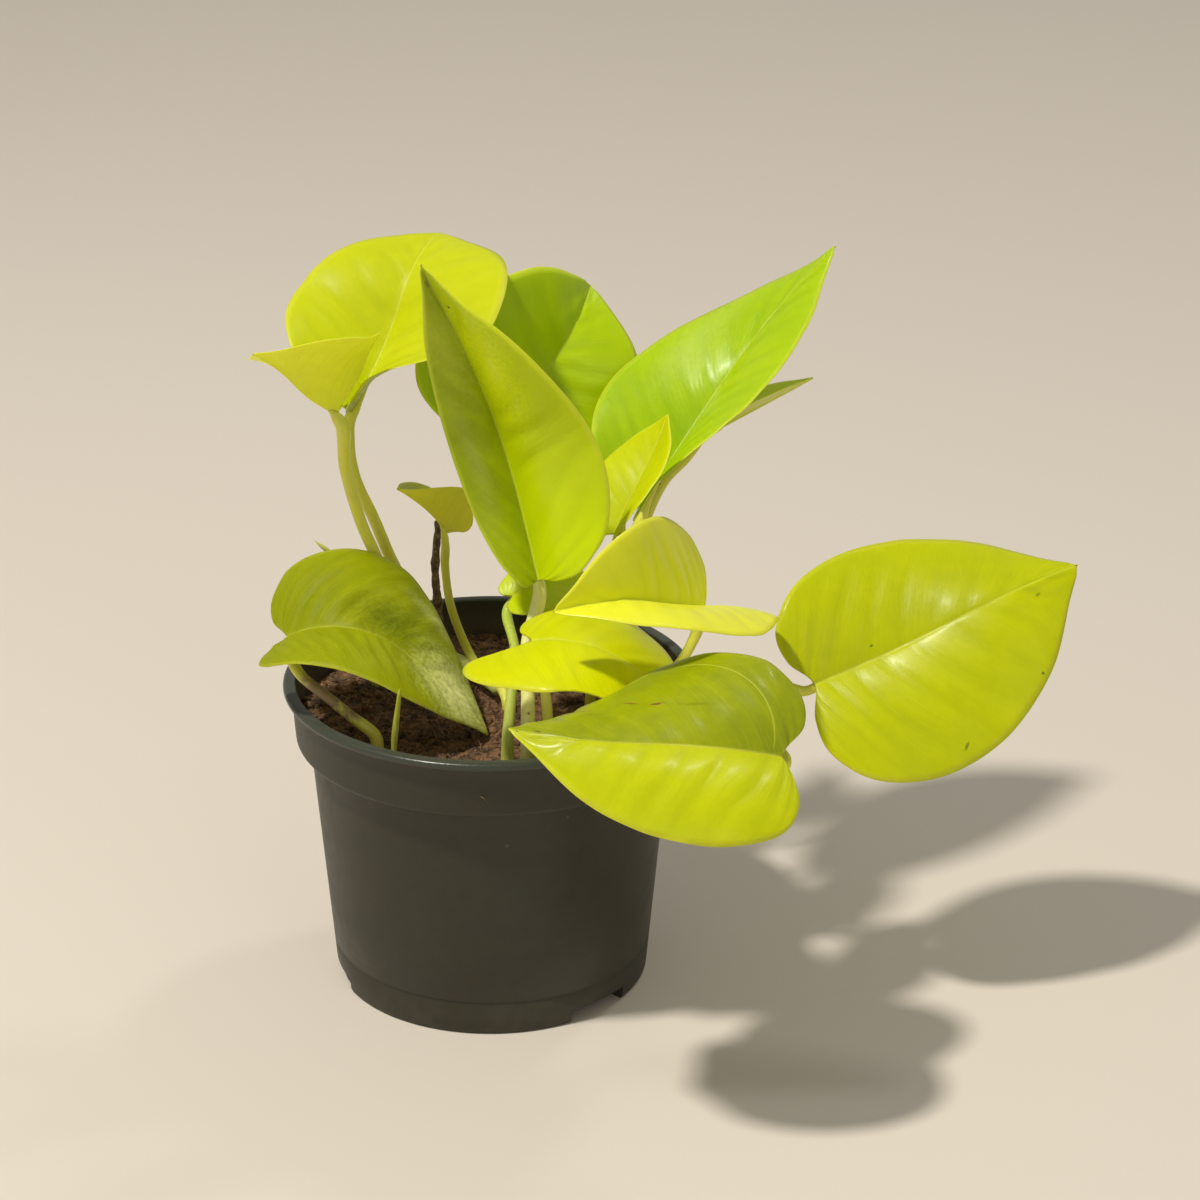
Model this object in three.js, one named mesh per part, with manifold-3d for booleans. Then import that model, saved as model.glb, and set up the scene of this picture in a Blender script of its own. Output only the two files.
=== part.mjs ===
// A potted neon pothos: a round nursery pot of soil and fourteen heart-shaped leaves on their stalks.
// Millimetres, +Z up. The pot stands on z = 0 with its axis on the Z axis; the front is -Y.

import * as THREE from 'three';
import { mergeVertices } from 'three/addons/utils/BufferGeometryUtils.js';
import Module from 'manifold-3d';

const wasm = await Module();
wasm.setup();

// Pot
const POT_HEIGHT = 83.5;
const RIM_RADIUS = 54;
const LIP_ROUND = 1.1;
const BAND_TOP_RADIUS = 52.2;
const BAND_LOW_RADIUS = 51;
const BAND_LOW_Z = 69;
const BAND_ROUND = 2;
const BODY_TOP_RADIUS = 47.3;
const BODY_TOP_Z = 66.6;
const BASE_RADIUS = 41.5;
const FOOT_ROUND = 1.2;
const ROUND_STEPS = 3;
const WALL = 1.5;
const FLOOR = 1.8;
const POT_SIDES = 60;
const NOTCH_COUNT = 3;
const NOTCH_WIDTH = 18.5;
const NOTCH_HEIGHT = 4;
const NOTCH_DEPTH = 8;
const NOTCH_FIRST_DEG = -47.5;

// Soil
const SOIL_GAP = 0.4;
const SOIL_TOP = 73.8;
const SOIL_SHOULDER_Z = 6;
const SOIL_BUMP = 0.8;
const SOIL_RINGS = 7;
const SOIL_SIDES = 40;
const SOIL_SEED = 11;
const HOLE_GAP = 0.5;
const HOLE_DEPTH = 9;
const HOLE_SIDES = 8;

// Leaves
const BLADE = 0.8;
const RIB = 1.3;
const MIDRIB_STEPS = 24;
const HALF_COLUMNS = 3;
const VEIN_START_POWER = 2.4;
const VEIN_SWEEP_POWER = 1.3;
const NARROW = 3;

// Half of a leaf outline from the notch at the stalk to the tip: along / length, across / half width.
// A negative first value is a share of the lobe behind the stalk.
const OUTLINE = [
  [0, 0.05], [-1, 0.26], [-0.9, 0.56], [0.07, 0.86], [0.28, 1],
  [0.52, 0.92], [0.76, 0.62], [0.92, 0.22], [1, 0.03],
];

// Stalks
const STALK_SIDES = 7;
const STALK_STEP = 6;
const STALK_BACK = 2.5;
const STALK_UNDER = 4;
const STALK_REACH = 3;
const STALK_SINK = 1.5;

// Every leaf: where its blade starts, the way its midrib sets out (heading and rise in degrees) and
// its roll about it, the length, the half widths to its left and right, how far the midrib bends
// down over its first and second half, its sweep to the left, its twist, how far the halves are
// folded up at the stalk and at the tip, how far each half curls down to its edge, and the lobes
// behind the stalk (left, right). The stalk runs from its hole in the soil through the via points.
const LEAVES = [
  {
    name: 'leaf_01', tint: 0xcbd80a, rows: 14, base: [-35.9, 16.9, 151.2], heading: 49, rise: 36, roll: 9,
    length: 61.5, left: 27.5, right: 40, bend: [-21, 65], sweep: 17, twist: 5, fold: [55, -13],
    cup: 0, lobes: [0.02, 0.07], stalk: [1.7, 1.2], root: [-15, 30],
    via: [[-19, 27, 90], [-25.9, 21.5, 107.6], [-30, 19, 119.8], [-35, 17, 133.5]],
  },
  {
    name: 'leaf_02', tint: 0xb9c21e, rows: 10, base: [-37.9, 0, 157.6], heading: 206, rise: 25, roll: 13,
    length: 29, left: 26, right: 20, bend: [-26, 22], sweep: 4, twist: 20, fold: [66, 3],
    cup: 0, lobes: [0.02, 0.2], stalk: [1.5, 1.1], root: [-21, 21],
    via: [[-23, 18, 90], [-28.6, 12, 110], [-33.6, 7, 124.6], [-38, 3, 138.9]],
  },
  {
    name: 'leaf_03', tint: 0xa6c400, rows: 12, base: [4.3, 29.3, 133.8], heading: 66, rise: 39, roll: 43,
    length: 55.3, left: 36.7, right: 30.2, bend: [-28, 49], sweep: -9, twist: 11, fold: [11, 23],
    cup: 8, lobes: [0.02, 0.1], stalk: [1.6, 1.2], root: [20, 27],
    via: [[19, 27.5, 90], [16.6, 28.5, 104.6], [10.8, 29.5, 118.3]],
  },
  {
    name: 'leaf_04', tint: 0xcdd600, rows: 14, base: [12.2, -22.3, 119.8], heading: 109, rise: 51, roll: -14,
    length: 92.5, left: 14.5, right: 29, bend: [-49, -7], sweep: 11, twist: -31, fold: [60, 35],
    cup: 40, lobes: [0.02, 0.03], stalk: [1.9, 1.5], root: [9.3, -40.5],
    via: [[9.3, -39.5, 83], [9.4, -34.8, 92.6], [9.4, -26.6, 104.5]],
  },
  {
    name: 'leaf_05', tint: 0xa4c800, rows: 14, base: [39.2, 12.3, 125.3], heading: 54, rise: 34, roll: 5,
    length: 88, left: 25, right: 23.5, bend: [-14, 2], sweep: -30, twist: -33, fold: [64, -20],
    cup: 11, lobes: [0.02, 0.08], stalk: [1.8, 1.4], root: [27, 12],
    via: [[29, 12, 84], [34, 12, 98], [37.2, 12, 111]],
  },
  {
    name: 'leaf_06', tint: 0xc3d200, rows: 10, base: [31.5, -14.6, 129.2], heading: 42, rise: 59, roll: -12,
    length: 33, left: 13, right: 13.5, bend: [8, -13], sweep: 1, twist: 2, fold: [36, 9],
    cup: 7, lobes: [0.06, 0.06], stalk: [1.3, 1], root: [26, 0],
    via: [[27, -2, 88], [28.5, -6, 103], [29.7, -11, 115]],
  },
  {
    name: 'leaf_07', tint: 0xd2d90a, rows: 12, base: [55, -15.5, 109.4], heading: 232, rise: 20, roll: -31,
    length: 59.5, left: 27.5, right: 22, bend: [-3, 39], sweep: -3, twist: -21, fold: [44, 50],
    cup: 22, lobes: [0.19, 0.02], stalk: [1.6, 1.2], root: [37, -17],
    via: [[39, -17, 80], [44, -16, 87.5], [50, -15, 95.6]],
  },
  {
    name: 'leaf_08', tint: 0xc0cb00, rows: 14, base: [83.2, -17.6, 88.3], heading: 13, rise: 17, roll: 50,
    length: 75.5, left: 30, right: 35.5, bend: [-13, 27], sweep: 6, twist: -16, fold: [11, -20],
    cup: 10, lobes: [0.06, 0.05], stalk: [1.6, 1.2], root: [35, -10],
    via: [[37.5, -10, 79.5], [45, -12, 86], [56, -14.5, 90], [68, -17, 90.5]],
  },
  {
    name: 'leaf_09', tint: 0xcbd300, rows: 14, base: [69.5, -81.9, 98.6], heading: 197, rise: 18, roll: -32,
    length: 68.3, left: 28.2, right: 35.6, bend: [14, -11], sweep: -4, twist: 28, fold: [18, -17],
    cup: 37, lobes: [0.02, 0.1], stalk: [1.6, 1.2], root: [28, -30],
    via: [[28.6, -30.8, 78], [35, -41, 88.3], [46, -53.5, 90], [60, -62.5, 92.5], [70.4, -72, 94.6]],
  },
  {
    name: 'leaf_10', tint: 0xcfd800, rows: 12, base: [10.2, -39.4, 110.7], heading: -15, rise: 14, roll: 10,
    length: 45.5, left: 21.1, right: 24.1, bend: [51, 18], sweep: 3, twist: -2, fold: [1, 1],
    cup: 19, lobes: [0.08, 0.28], stalk: [1.5, 1.1], root: [14.6, -36.5],
    via: [[14.3, -36.4, 87.5], [13.3, -37, 96.8]],
  },
  {
    name: 'leaf_11', tint: 0xc0d000, rows: 10, base: [5.7, -9.1, 109.9], heading: 13, rise: 24, roll: 25,
    length: 22.2, left: 7.5, right: 10.5, bend: [21, 18], sweep: 1, twist: 5, fold: [14, 17],
    cup: 14, lobes: [0.1, 0.1], stalk: [1.6, 1.1], root: [4.1, -37],
    via: [[4.2, -36, 81], [5.3, -30, 92.4], [6.2, -19.5, 99.8]],
  },
  {
    name: 'leaf_12', tint: 0xb4bd3c, rows: 14, base: [-52.1, -11.7, 100], heading: -24, rise: 36, roll: 26,
    length: 65, left: 27.5, right: 18.5, bend: [78, 13], sweep: -10, twist: -20, fold: [22, -1],
    cup: 19, lobes: [0.07, 0.08], stalk: [1.6, 1.2], root: [-29, -24],
    via: [[-29.6, -24, 77.8], [-35.6, -22.6, 82.6], [-42.2, -20, 87.4], [-48.6, -16, 91.5]],
  },
  {
    name: 'leaf_13', tint: 0xb3b632, rows: 10, base: [-10.8, 18.9, 117.5], heading: 219, rise: 52, roll: 11,
    length: 23, left: 11, right: 9.5, bend: [10, 7], sweep: 0, twist: -2, fold: [66, 21],
    cup: 0, lobes: [0.2, 0.2], stalk: [1.4, 1], root: [4.5, -3],
    via: [[4.4, -2.6, 76.8], [2.8, 3, 78.6], [-0.2, 10, 78.2], [-5, 20, 80], [-7.8, 21.3, 86],
      [-10.5, 20, 95.6], [-11.7, 19, 107]],
    vine: [[-10.5, 24, 78.2], [-5, 16.5, 78], [2.5, 2.8, 78]],
  },
  {
    name: 'leaf_14', tint: 0xb8cd20, rows: 10, base: [53.5, 38.5, 134.3], heading: 14, rise: 22, roll: -14,
    length: 37, left: 11.5, right: 12.5, bend: [-1, -2], sweep: 0, twist: -1, fold: [20, 20],
    cup: 0, lobes: [0.06, 0.06], stalk: [1.4, 1], root: [31, 30],
    via: [[33.5, 31, 88], [40, 34, 108], [46.9, 36, 123.5]],
  },
];
const VINE_RADIUS = 2;

// Young shoots and the dry stem: hole, points above it and the radii at both ends
const RODS = [
  {
    name: 'shoot_front', radii: [1.2, 0.4], root: [-24.6, -34],
    via: [[-24.3, -34.3, 81.5], [-23.3, -35.5, 90.6], [-22.5, -37.2, 97.2]],
  },
  {
    name: 'shoot_back', radii: [1.5, 0.4], root: [-30, 14],
    via: [[-31, 13.5, 90], [-35.5, 12.5, 107], [-45.5, 10, 118]],
  },
  {
    name: 'dry_stem', radii: [1.3, 1.0], root: [-13.6, 38],
    via: [[-13.6, 38, 82], [-14.6, 37, 98], [-13.4, 36, 113]],
  },
];

const rad = THREE.MathUtils.degToRad;
const vec = (p) => new THREE.Vector3(...p);

// A material of its own for every mesh; nothing here is metal
const surface = (color, roughness) => new THREE.MeshStandardMaterial({ color, roughness, metalness: 0 });
const potPlastic = () => surface(0x34352c, 0.55);
const soilEarth = () => surface(0x3a281c, 0.95);
const leafSkin = (leaf) => surface(leaf.tint, 0.38);
const shootSkin = () => surface(0xb9c94a, 0.5);
const dryBark = () => surface(0x4b3524, 0.9);

// Closed geometry to solid and back
function solidOf(geometry) {
  let bare = geometry.clone();
  bare.deleteAttribute('normal');
  bare.deleteAttribute('uv');
  bare = mergeVertices(bare, 1e-4);
  return new wasm.Manifold(new wasm.Mesh({
    numProp: 3,
    vertProperties: new Float32Array(bare.attributes.position.array),
    triVerts: new Uint32Array(bare.index.array),
  }));
}

function meshOf(name, solid, material) {
  const data = solid.getMesh();
  const geometry = new THREE.BufferGeometry();
  geometry.setAttribute('position', new THREE.BufferAttribute(data.vertProperties, 3));
  geometry.setIndex(new THREE.BufferAttribute(data.triVerts, 1));
  geometry.computeVertexNormals();
  const mesh = new THREE.Mesh(geometry, material);
  mesh.name = name;
  return mesh;
}

// A seeded random number between 0 and 1
function random(seed) {
  let state = seed >>> 0;
  return () => {
    state = (Math.imul(state, 1664525) + 1013904223) >>> 0;
    return state / 4294967296;
  };
}

// Turned solids: profile points (radius, height) that start and end on the axis
function turned(profile, sides) {
  const lathe = new THREE.LatheGeometry(profile.map(([r, z]) => new THREE.Vector2(r, z)), sides);
  return lathe.rotateX(Math.PI / 2);
}

// Inner wall of the pot at a height
function innerRadius(z) {
  if (z >= BAND_LOW_Z) {
    const share = (z - BAND_LOW_Z) / (POT_HEIGHT - BAND_LOW_Z);
    return BAND_LOW_RADIUS - WALL + share * (BAND_TOP_RADIUS - BAND_LOW_RADIUS);
  }
  return BASE_RADIUS - WALL + (z / BODY_TOP_Z) * (BODY_TOP_RADIUS - BASE_RADIUS);
}

// Profile points round a corner
function corner(centre, radius, from, to) {
  const points = [];
  for (let i = 0; i <= ROUND_STEPS; i += 1) {
    const angle = rad(THREE.MathUtils.lerp(from, to, i / ROUND_STEPS));
    points.push([centre[0] + radius * Math.cos(angle), centre[1] + radius * Math.sin(angle)]);
  }
  return points;
}

// Nursery pot: tapered body, deep band, rolled lip and three drainage notches at the foot
function pot() {
  const profile = [
    [0, 0],
    ...corner([BASE_RADIUS - FOOT_ROUND, FOOT_ROUND], FOOT_ROUND, -90, 0),
    [BODY_TOP_RADIUS, BODY_TOP_Z],
    ...corner([BAND_LOW_RADIUS - BAND_ROUND, BAND_LOW_Z], BAND_ROUND, -90, 0),
    [BAND_TOP_RADIUS, POT_HEIGHT - 2 * LIP_ROUND],
    ...corner([RIM_RADIUS - LIP_ROUND, POT_HEIGHT - LIP_ROUND], LIP_ROUND, -90, 90),
    [innerRadius(POT_HEIGHT) + LIP_ROUND / 2, POT_HEIGHT],
    [innerRadius(POT_HEIGHT), POT_HEIGHT - LIP_ROUND],
    [innerRadius(BAND_LOW_Z), BAND_LOW_Z],
    [innerRadius(BODY_TOP_Z), BODY_TOP_Z],
    [innerRadius(FLOOR), FLOOR],
    [0, FLOOR],
  ];
  let solid = solidOf(turned(profile, POT_SIDES));
  for (let i = 0; i < NOTCH_COUNT; i += 1) {
    const box = new THREE.BoxGeometry(2 * NOTCH_DEPTH, NOTCH_WIDTH, 2 * NOTCH_HEIGHT);
    box.translate(BASE_RADIUS, 0, 0);
    box.rotateZ(rad(NOTCH_FIRST_DEG + (i * 360) / NOTCH_COUNT));
    solid = solid.subtract(solidOf(box));
  }
  return meshOf('pot', solid, potPlastic());
}

// Soil: a lumpy top over a plain plug that follows the inner wall, clear of the notches
function soil() {
  const next = random(SOIL_SEED);
  const top = SOIL_TOP;
  const edge = innerRadius(top) - SOIL_GAP;
  const profile = [
    [0, FLOOR + SOIL_GAP],
    [BASE_RADIUS - NOTCH_DEPTH - FLOOR, FLOOR + SOIL_GAP],
    [innerRadius(SOIL_SHOULDER_Z) - SOIL_GAP, SOIL_SHOULDER_Z],
    [innerRadius(BODY_TOP_Z) - SOIL_GAP, BODY_TOP_Z + SOIL_GAP / 2],
    [innerRadius(BAND_LOW_Z) - SOIL_GAP, BAND_LOW_Z + SOIL_GAP / 2],
    [edge, top],
  ];
  for (let ring = SOIL_RINGS - 1; ring >= 0; ring -= 1) {
    profile.push([(edge * ring) / SOIL_RINGS, top]);
  }
  const geometry = turned(profile, SOIL_SIDES);
  const bare = mergeVertices(geometry.deleteAttribute('normal').deleteAttribute('uv'), 1e-4);
  const spot = bare.attributes.position;
  for (let i = 0; i < spot.count; i += 1) {
    const inside = Math.hypot(spot.getX(i), spot.getY(i)) < edge - 1;
    if (spot.getZ(i) > top - 0.01 && inside) {
      spot.setZ(i, top + (next() * 2 - 1) * SOIL_BUMP);
    }
  }
  let solid = solidOf(bare);
  for (const stem of [...LEAVES, ...RODS]) {
    const radius = (stem.stalk ?? stem.radii)[0] + HOLE_GAP;
    const hole = new THREE.CylinderGeometry(radius, radius, 2 * HOLE_DEPTH, HOLE_SIDES);
    hole.rotateX(Math.PI / 2);
    hole.translate(stem.root[0], stem.root[1], SOIL_TOP);
    solid = solid.subtract(solidOf(hole));
  }
  return meshOf('soil', solid, soilEarth());
}

// Round stem along a curve, thinner towards its end
function stem(points, radii) {
  const curve = new THREE.CatmullRomCurve3(points.map(vec), false, 'centripetal');
  const steps = Math.ceil(curve.getLength() / STALK_STEP);
  const frames = curve.computeFrenetFrames(steps, false);
  const rod = new THREE.CylinderGeometry(1, 1, steps, STALK_SIDES, steps);
  const spot = rod.attributes.position;
  for (let i = 0; i < spot.count; i += 1) {
    const step = Math.round(spot.getY(i) + steps / 2);
    const radius = THREE.MathUtils.lerp(radii[0], radii[1], step / steps);
    const place = curve.getPointAt(step / steps);
    place.addScaledVector(frames.normals[step], -spot.getX(i) * radius);
    place.addScaledVector(frames.binormals[step], spot.getZ(i) * radius);
    spot.setXYZ(i, place.x, place.y, place.z);
  }
  return solidOf(rod);
}

// The straight foot of a stem in its hole
function foot([x, y]) {
  return [[x, y, SOIL_TOP - HOLE_DEPTH + 0.5], [x, y, SOIL_TOP - 3], [x, y, SOIL_TOP + 1]];
}

// Stations along a midrib: place, way ahead, upper face and left side
function midrib(leaf) {
  const heading = rad(leaf.heading);
  const rise = rad(leaf.rise);
  const ahead = new THREE.Vector3(
    Math.cos(heading) * Math.cos(rise), Math.sin(heading) * Math.cos(rise), Math.sin(rise));
  const up = new THREE.Vector3(
    -Math.cos(heading) * Math.sin(rise), -Math.sin(heading) * Math.sin(rise), Math.cos(rise));
  up.applyAxisAngle(ahead, rad(leaf.roll));
  let side = up.clone().cross(ahead);
  const place = vec(leaf.base);
  const stations = [{ place: place.clone(), ahead: ahead.clone(), up: up.clone(), side }];
  for (let i = 0; i < MIDRIB_STEPS; i += 1) {
    const half = i < MIDRIB_STEPS / 2 ? 0 : 1;
    const down = (2 * rad(leaf.bend[half])) / MIDRIB_STEPS;
    const turn = rad(leaf.sweep) / MIDRIB_STEPS;
    const middle = ahead.clone().applyAxisAngle(side, down / 2).applyAxisAngle(up, turn / 2);
    place.addScaledVector(middle, leaf.length / MIDRIB_STEPS);
    ahead.applyAxisAngle(side, down);
    up.applyAxisAngle(side, down);
    ahead.applyAxisAngle(up, turn);
    up.applyAxisAngle(ahead, rad(leaf.twist) / MIDRIB_STEPS);
    side = up.clone().cross(ahead).normalize();
    stations.push({ place: place.clone(), ahead: ahead.clone(), up: up.clone(), side });
  }
  return stations;
}

// Upper face of a leaf at a distance along its midrib and across it (left is positive)
function facePoint(leaf, stations, along, across) {
  const share = THREE.MathUtils.clamp(along / leaf.length, 0, 1);
  const index = Math.min(Math.floor(share * MIDRIB_STEPS), MIDRIB_STEPS - 1);
  const part = share * MIDRIB_STEPS - index;
  const from = stations[index];
  const to = stations[index + 1];
  const mix = (key) => from[key].clone().lerp(to[key], part);
  const fold = rad(THREE.MathUtils.lerp(leaf.fold[0], leaf.fold[1], share));
  const width = across < 0 ? leaf.right : leaf.left;
  const curl = -rad(leaf.cup || 0.01) / width;
  const reach = Math.abs(across);
  const out = (Math.sin(fold + curl * reach) - Math.sin(fold)) / curl;
  const lift = (Math.cos(fold) - Math.cos(fold + curl * reach)) / curl;
  return mix('place')
    .addScaledVector(mix('ahead'), Math.min(along, 0))
    .addScaledVector(mix('side'), Math.sign(across) * out)
    .addScaledVector(mix('up'), lift);
}

// Which way the upper face looks at a point, and the way straight up from the midrib there
function faceNormal(leaf, stations, along, across) {
  const d = 0.4;
  const ahead = facePoint(leaf, stations, along + d, across)
    .sub(facePoint(leaf, stations, along - d, across));
  const side = facePoint(leaf, stations, along, across + d)
    .sub(facePoint(leaf, stations, along, across - d));
  return ahead.cross(side).normalize();
}

// Outline of a half leaf from its notch (0) to its tip (1)
function outlineAt(share, lobe) {
  const points = OUTLINE.map(([x, y]) => new THREE.Vector2(x < 0 ? x * lobe : x, y));
  return new THREE.SplineCurve(points).getPoint(share);
}

// Leaf blade: rows along the side veins, a thicker midrib beneath, and an edge of its own
function blade(leaf, stations) {
  const columns = 2 * HALF_COLUMNS;
  const upper = [];
  const lower = [];
  for (let row = 0; row <= leaf.rows; row += 1) {
    const share = row / leaf.rows;
    const start = share ** VEIN_START_POWER;
    for (let column = 0; column <= columns; column += 1) {
      const across = column / HALF_COLUMNS - 1;
      const reach = Math.abs(across);
      const end = outlineAt(share, leaf.lobes[across < 0 ? 1 : 0]);
      const along = (start + (end.x - start) * reach ** VEIN_SWEEP_POWER) * leaf.length;
      const y = across * end.y * (across < 0 ? leaf.right : leaf.left);
      const top = facePoint(leaf, stations, along, y);
      const straight = faceNormal(leaf, stations, along, 0);
      const facing = faceNormal(leaf, stations, along, y);
      const push = straight.clone().lerp(facing, Math.min(Math.abs(y) / NARROW, 1)).normalize();
      const thick = BLADE / Math.max(0.4, push.dot(facing));
      const rib = reach < 0.01 ? RIB * (1 - share) + 0.2 : 0;
      upper.push(top);
      lower.push(top.clone().addScaledVector(push, -thick - rib));
    }
  }
  const count = upper.length;
  const index = [];
  const quad = (a, b, c, d) => index.push(a, b, c, a, c, d);
  for (let row = 0; row < leaf.rows; row += 1) {
    for (let column = 0; column < columns; column += 1) {
      const a = row * (columns + 1) + column;
      const corners = [a, a + columns + 1, a + columns + 2, a + 1];
      if (column >= HALF_COLUMNS) {
        corners.push(corners.shift());
      }
      const [p, q, r, s] = corners;
      quad(p, q, r, s);
      quad(p + count, s + count, r + count, q + count);
    }
  }
  const edge = [];
  for (let column = 0; column < columns; column += 1) {
    edge.push(column);
  }
  for (let row = 0; row < leaf.rows; row += 1) {
    edge.push(row * (columns + 1) + columns);
  }
  for (let column = columns; column > 0; column -= 1) {
    edge.push(leaf.rows * (columns + 1) + column);
  }
  for (let row = leaf.rows; row > 0; row -= 1) {
    edge.push(row * (columns + 1));
  }
  edge.forEach((a, i) => {
    const b = edge[(i + 1) % edge.length];
    quad(a, b, b + count, a + count);
  });
  const geometry = new THREE.BufferGeometry().setFromPoints([...upper, ...lower]);
  geometry.setIndex(index);
  return solidOf(geometry);
}

// Whole leaf: blade and stalk grown together
function leafMesh(leaf) {
  const stations = midrib(leaf);
  const { ahead, up } = stations[0];
  const base = vec(leaf.base);
  const behind = base.clone().addScaledVector(ahead, -STALK_BACK).addScaledVector(up, -STALK_UNDER);
  const inside = base.clone().addScaledVector(ahead, STALK_REACH).addScaledVector(up, -STALK_SINK);
  const points = [...foot(leaf.root), ...leaf.via, behind.toArray(), inside.toArray()];
  let solid = blade(leaf, stations).add(stem(points, leaf.stalk));
  if (leaf.vine) {
    solid = solid.add(stem(leaf.vine, [VINE_RADIUS, VINE_RADIUS]));
  }
  return meshOf(leaf.name, solid, leafSkin(leaf));
}

function rodMesh(rod) {
  const material = rod.name === 'dry_stem' ? dryBark() : shootSkin();
  return meshOf(rod.name, stem([...foot(rod.root), ...rod.via], rod.radii), material);
}

const plant = new THREE.Group();
plant.add(pot(), soil());
for (const leaf of LEAVES) {
  plant.add(leafMesh(leaf));
}
for (const rod of RODS) {
  plant.add(rodMesh(rod));
}

export default plant;
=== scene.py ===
"""Potted neon pothos: fine leaves, stalks, pot and soil over the solid model, with floor, light and camera.

Everything is in metres in the model's own frame: the pot stands on z = 0 with its axis on Z, and
-Y is the front. Sizes that describe the plant are given in millimetres and turned to metres at the
last step of each build.
"""

import logging
import math
from dataclasses import dataclass, field
from enum import Enum

import bmesh
import bpy
import numpy as np
from mathutils import Matrix, Vector, noise


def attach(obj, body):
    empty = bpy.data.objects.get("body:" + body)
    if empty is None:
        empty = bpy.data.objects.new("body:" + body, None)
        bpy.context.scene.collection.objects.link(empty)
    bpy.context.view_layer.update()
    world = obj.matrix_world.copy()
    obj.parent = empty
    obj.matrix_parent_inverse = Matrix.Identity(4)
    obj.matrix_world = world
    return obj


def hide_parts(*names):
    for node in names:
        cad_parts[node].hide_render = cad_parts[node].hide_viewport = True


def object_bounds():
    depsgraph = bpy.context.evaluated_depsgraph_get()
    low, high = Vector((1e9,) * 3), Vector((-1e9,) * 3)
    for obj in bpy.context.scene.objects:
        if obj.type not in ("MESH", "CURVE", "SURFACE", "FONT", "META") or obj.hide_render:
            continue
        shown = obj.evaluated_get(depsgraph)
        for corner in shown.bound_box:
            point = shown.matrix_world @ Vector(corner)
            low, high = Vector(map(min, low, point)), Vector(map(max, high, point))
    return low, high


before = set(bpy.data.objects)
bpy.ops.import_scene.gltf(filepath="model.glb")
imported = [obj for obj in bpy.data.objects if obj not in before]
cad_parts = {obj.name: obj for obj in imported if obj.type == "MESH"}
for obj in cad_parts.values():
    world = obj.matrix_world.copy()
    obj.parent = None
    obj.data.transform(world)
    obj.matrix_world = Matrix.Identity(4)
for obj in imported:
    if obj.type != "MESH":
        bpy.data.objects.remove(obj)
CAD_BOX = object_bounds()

LOG = logging.getLogger("plant")
MM = 0.001
FLAT_UNIT = 100.0
BODY = "root"

Colour = tuple[float, float, float]
Point = tuple[float, float, float]


def srgb(red: int, green: int, blue: int) -> Colour:
    """Turn a display colour of 0 to 255 into linear light.

    Args:
        red: Red from 0 to 255.
        green: Green from 0 to 255.
        blue: Blue from 0 to 255.

    Returns:
        The linear colour.
    """
    return tuple(
        (c / 255 / 12.92) if c <= 10 else ((c / 255 + 0.055) / 1.055) ** 2.4
        for c in (red, green, blue)
    )


class Graph:
    """Adds nodes to one node tree and links them."""

    def __init__(self, tree: bpy.types.NodeTree) -> None:
        """Take the tree to fill."""
        self.tree = tree

    def node(self, kind: str, inputs: dict | None = None, **settings: object) -> bpy.types.Node:
        """Add a node.

        Args:
            kind: The node's type name.
            inputs: Socket name or index to a value, or to an output socket to link from.
            **settings: Properties set on the node first.

        Returns:
            The new node.
        """
        made = self.tree.nodes.new(kind)
        for key, value in settings.items():
            setattr(made, key, value)
        for key, value in (inputs or {}).items():
            if isinstance(value, bpy.types.NodeSocket):
                self.tree.links.new(value, made.inputs[key])
            else:
                made.inputs[key].default_value = value
        return made

    def math(self, operation: str, *values: object, clamp: bool = False) -> bpy.types.NodeSocket:
        """Add a Math node.

        Args:
            operation: The node's operation, such as MULTIPLY.
            *values: Numbers or sockets, in order.
            clamp: Whether the result stays between 0 and 1.

        Returns:
            Its result.
        """
        inputs = dict(enumerate(values))
        return self.node("ShaderNodeMath", inputs, operation=operation, use_clamp=clamp).outputs[0]

    def mix(self, share: object, first: object, second: object, blend: str = "MIX") -> bpy.types.NodeSocket:
        """Mix two colours.

        Args:
            share: Number or socket, the share of the second colour.
            first: Colour or socket.
            second: Colour or socket.
            blend: The blend type.

        Returns:
            The mixed colour.
        """
        colours = [(*c, 1.0) if isinstance(c, tuple) else c for c in (first, second)]
        return self.node(
            "ShaderNodeMix", {0: share, 6: colours[0], 7: colours[1]}, data_type="RGBA", blend_type=blend
        ).outputs[2]

    def remap(
        self, value: object, low: float, high: float, to_low: float = 0.0, to_high: float = 1.0, smooth: bool = True
    ) -> bpy.types.NodeSocket:
        """Map a range of a value to another, held at both ends.

        Args:
            value: The socket to map.
            low: Start of the range.
            high: End of the range.
            to_low: Result at its start.
            to_high: Result at its end.
            smooth: Whether the step between them is eased.

        Returns:
            The mapped value.
        """
        kind = "SMOOTHSTEP" if smooth else "LINEAR"
        inputs = {0: value, 1: low, 2: high, 3: to_low, 4: to_high}
        return self.node("ShaderNodeMapRange", inputs, interpolation_type=kind).outputs[0]


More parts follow.
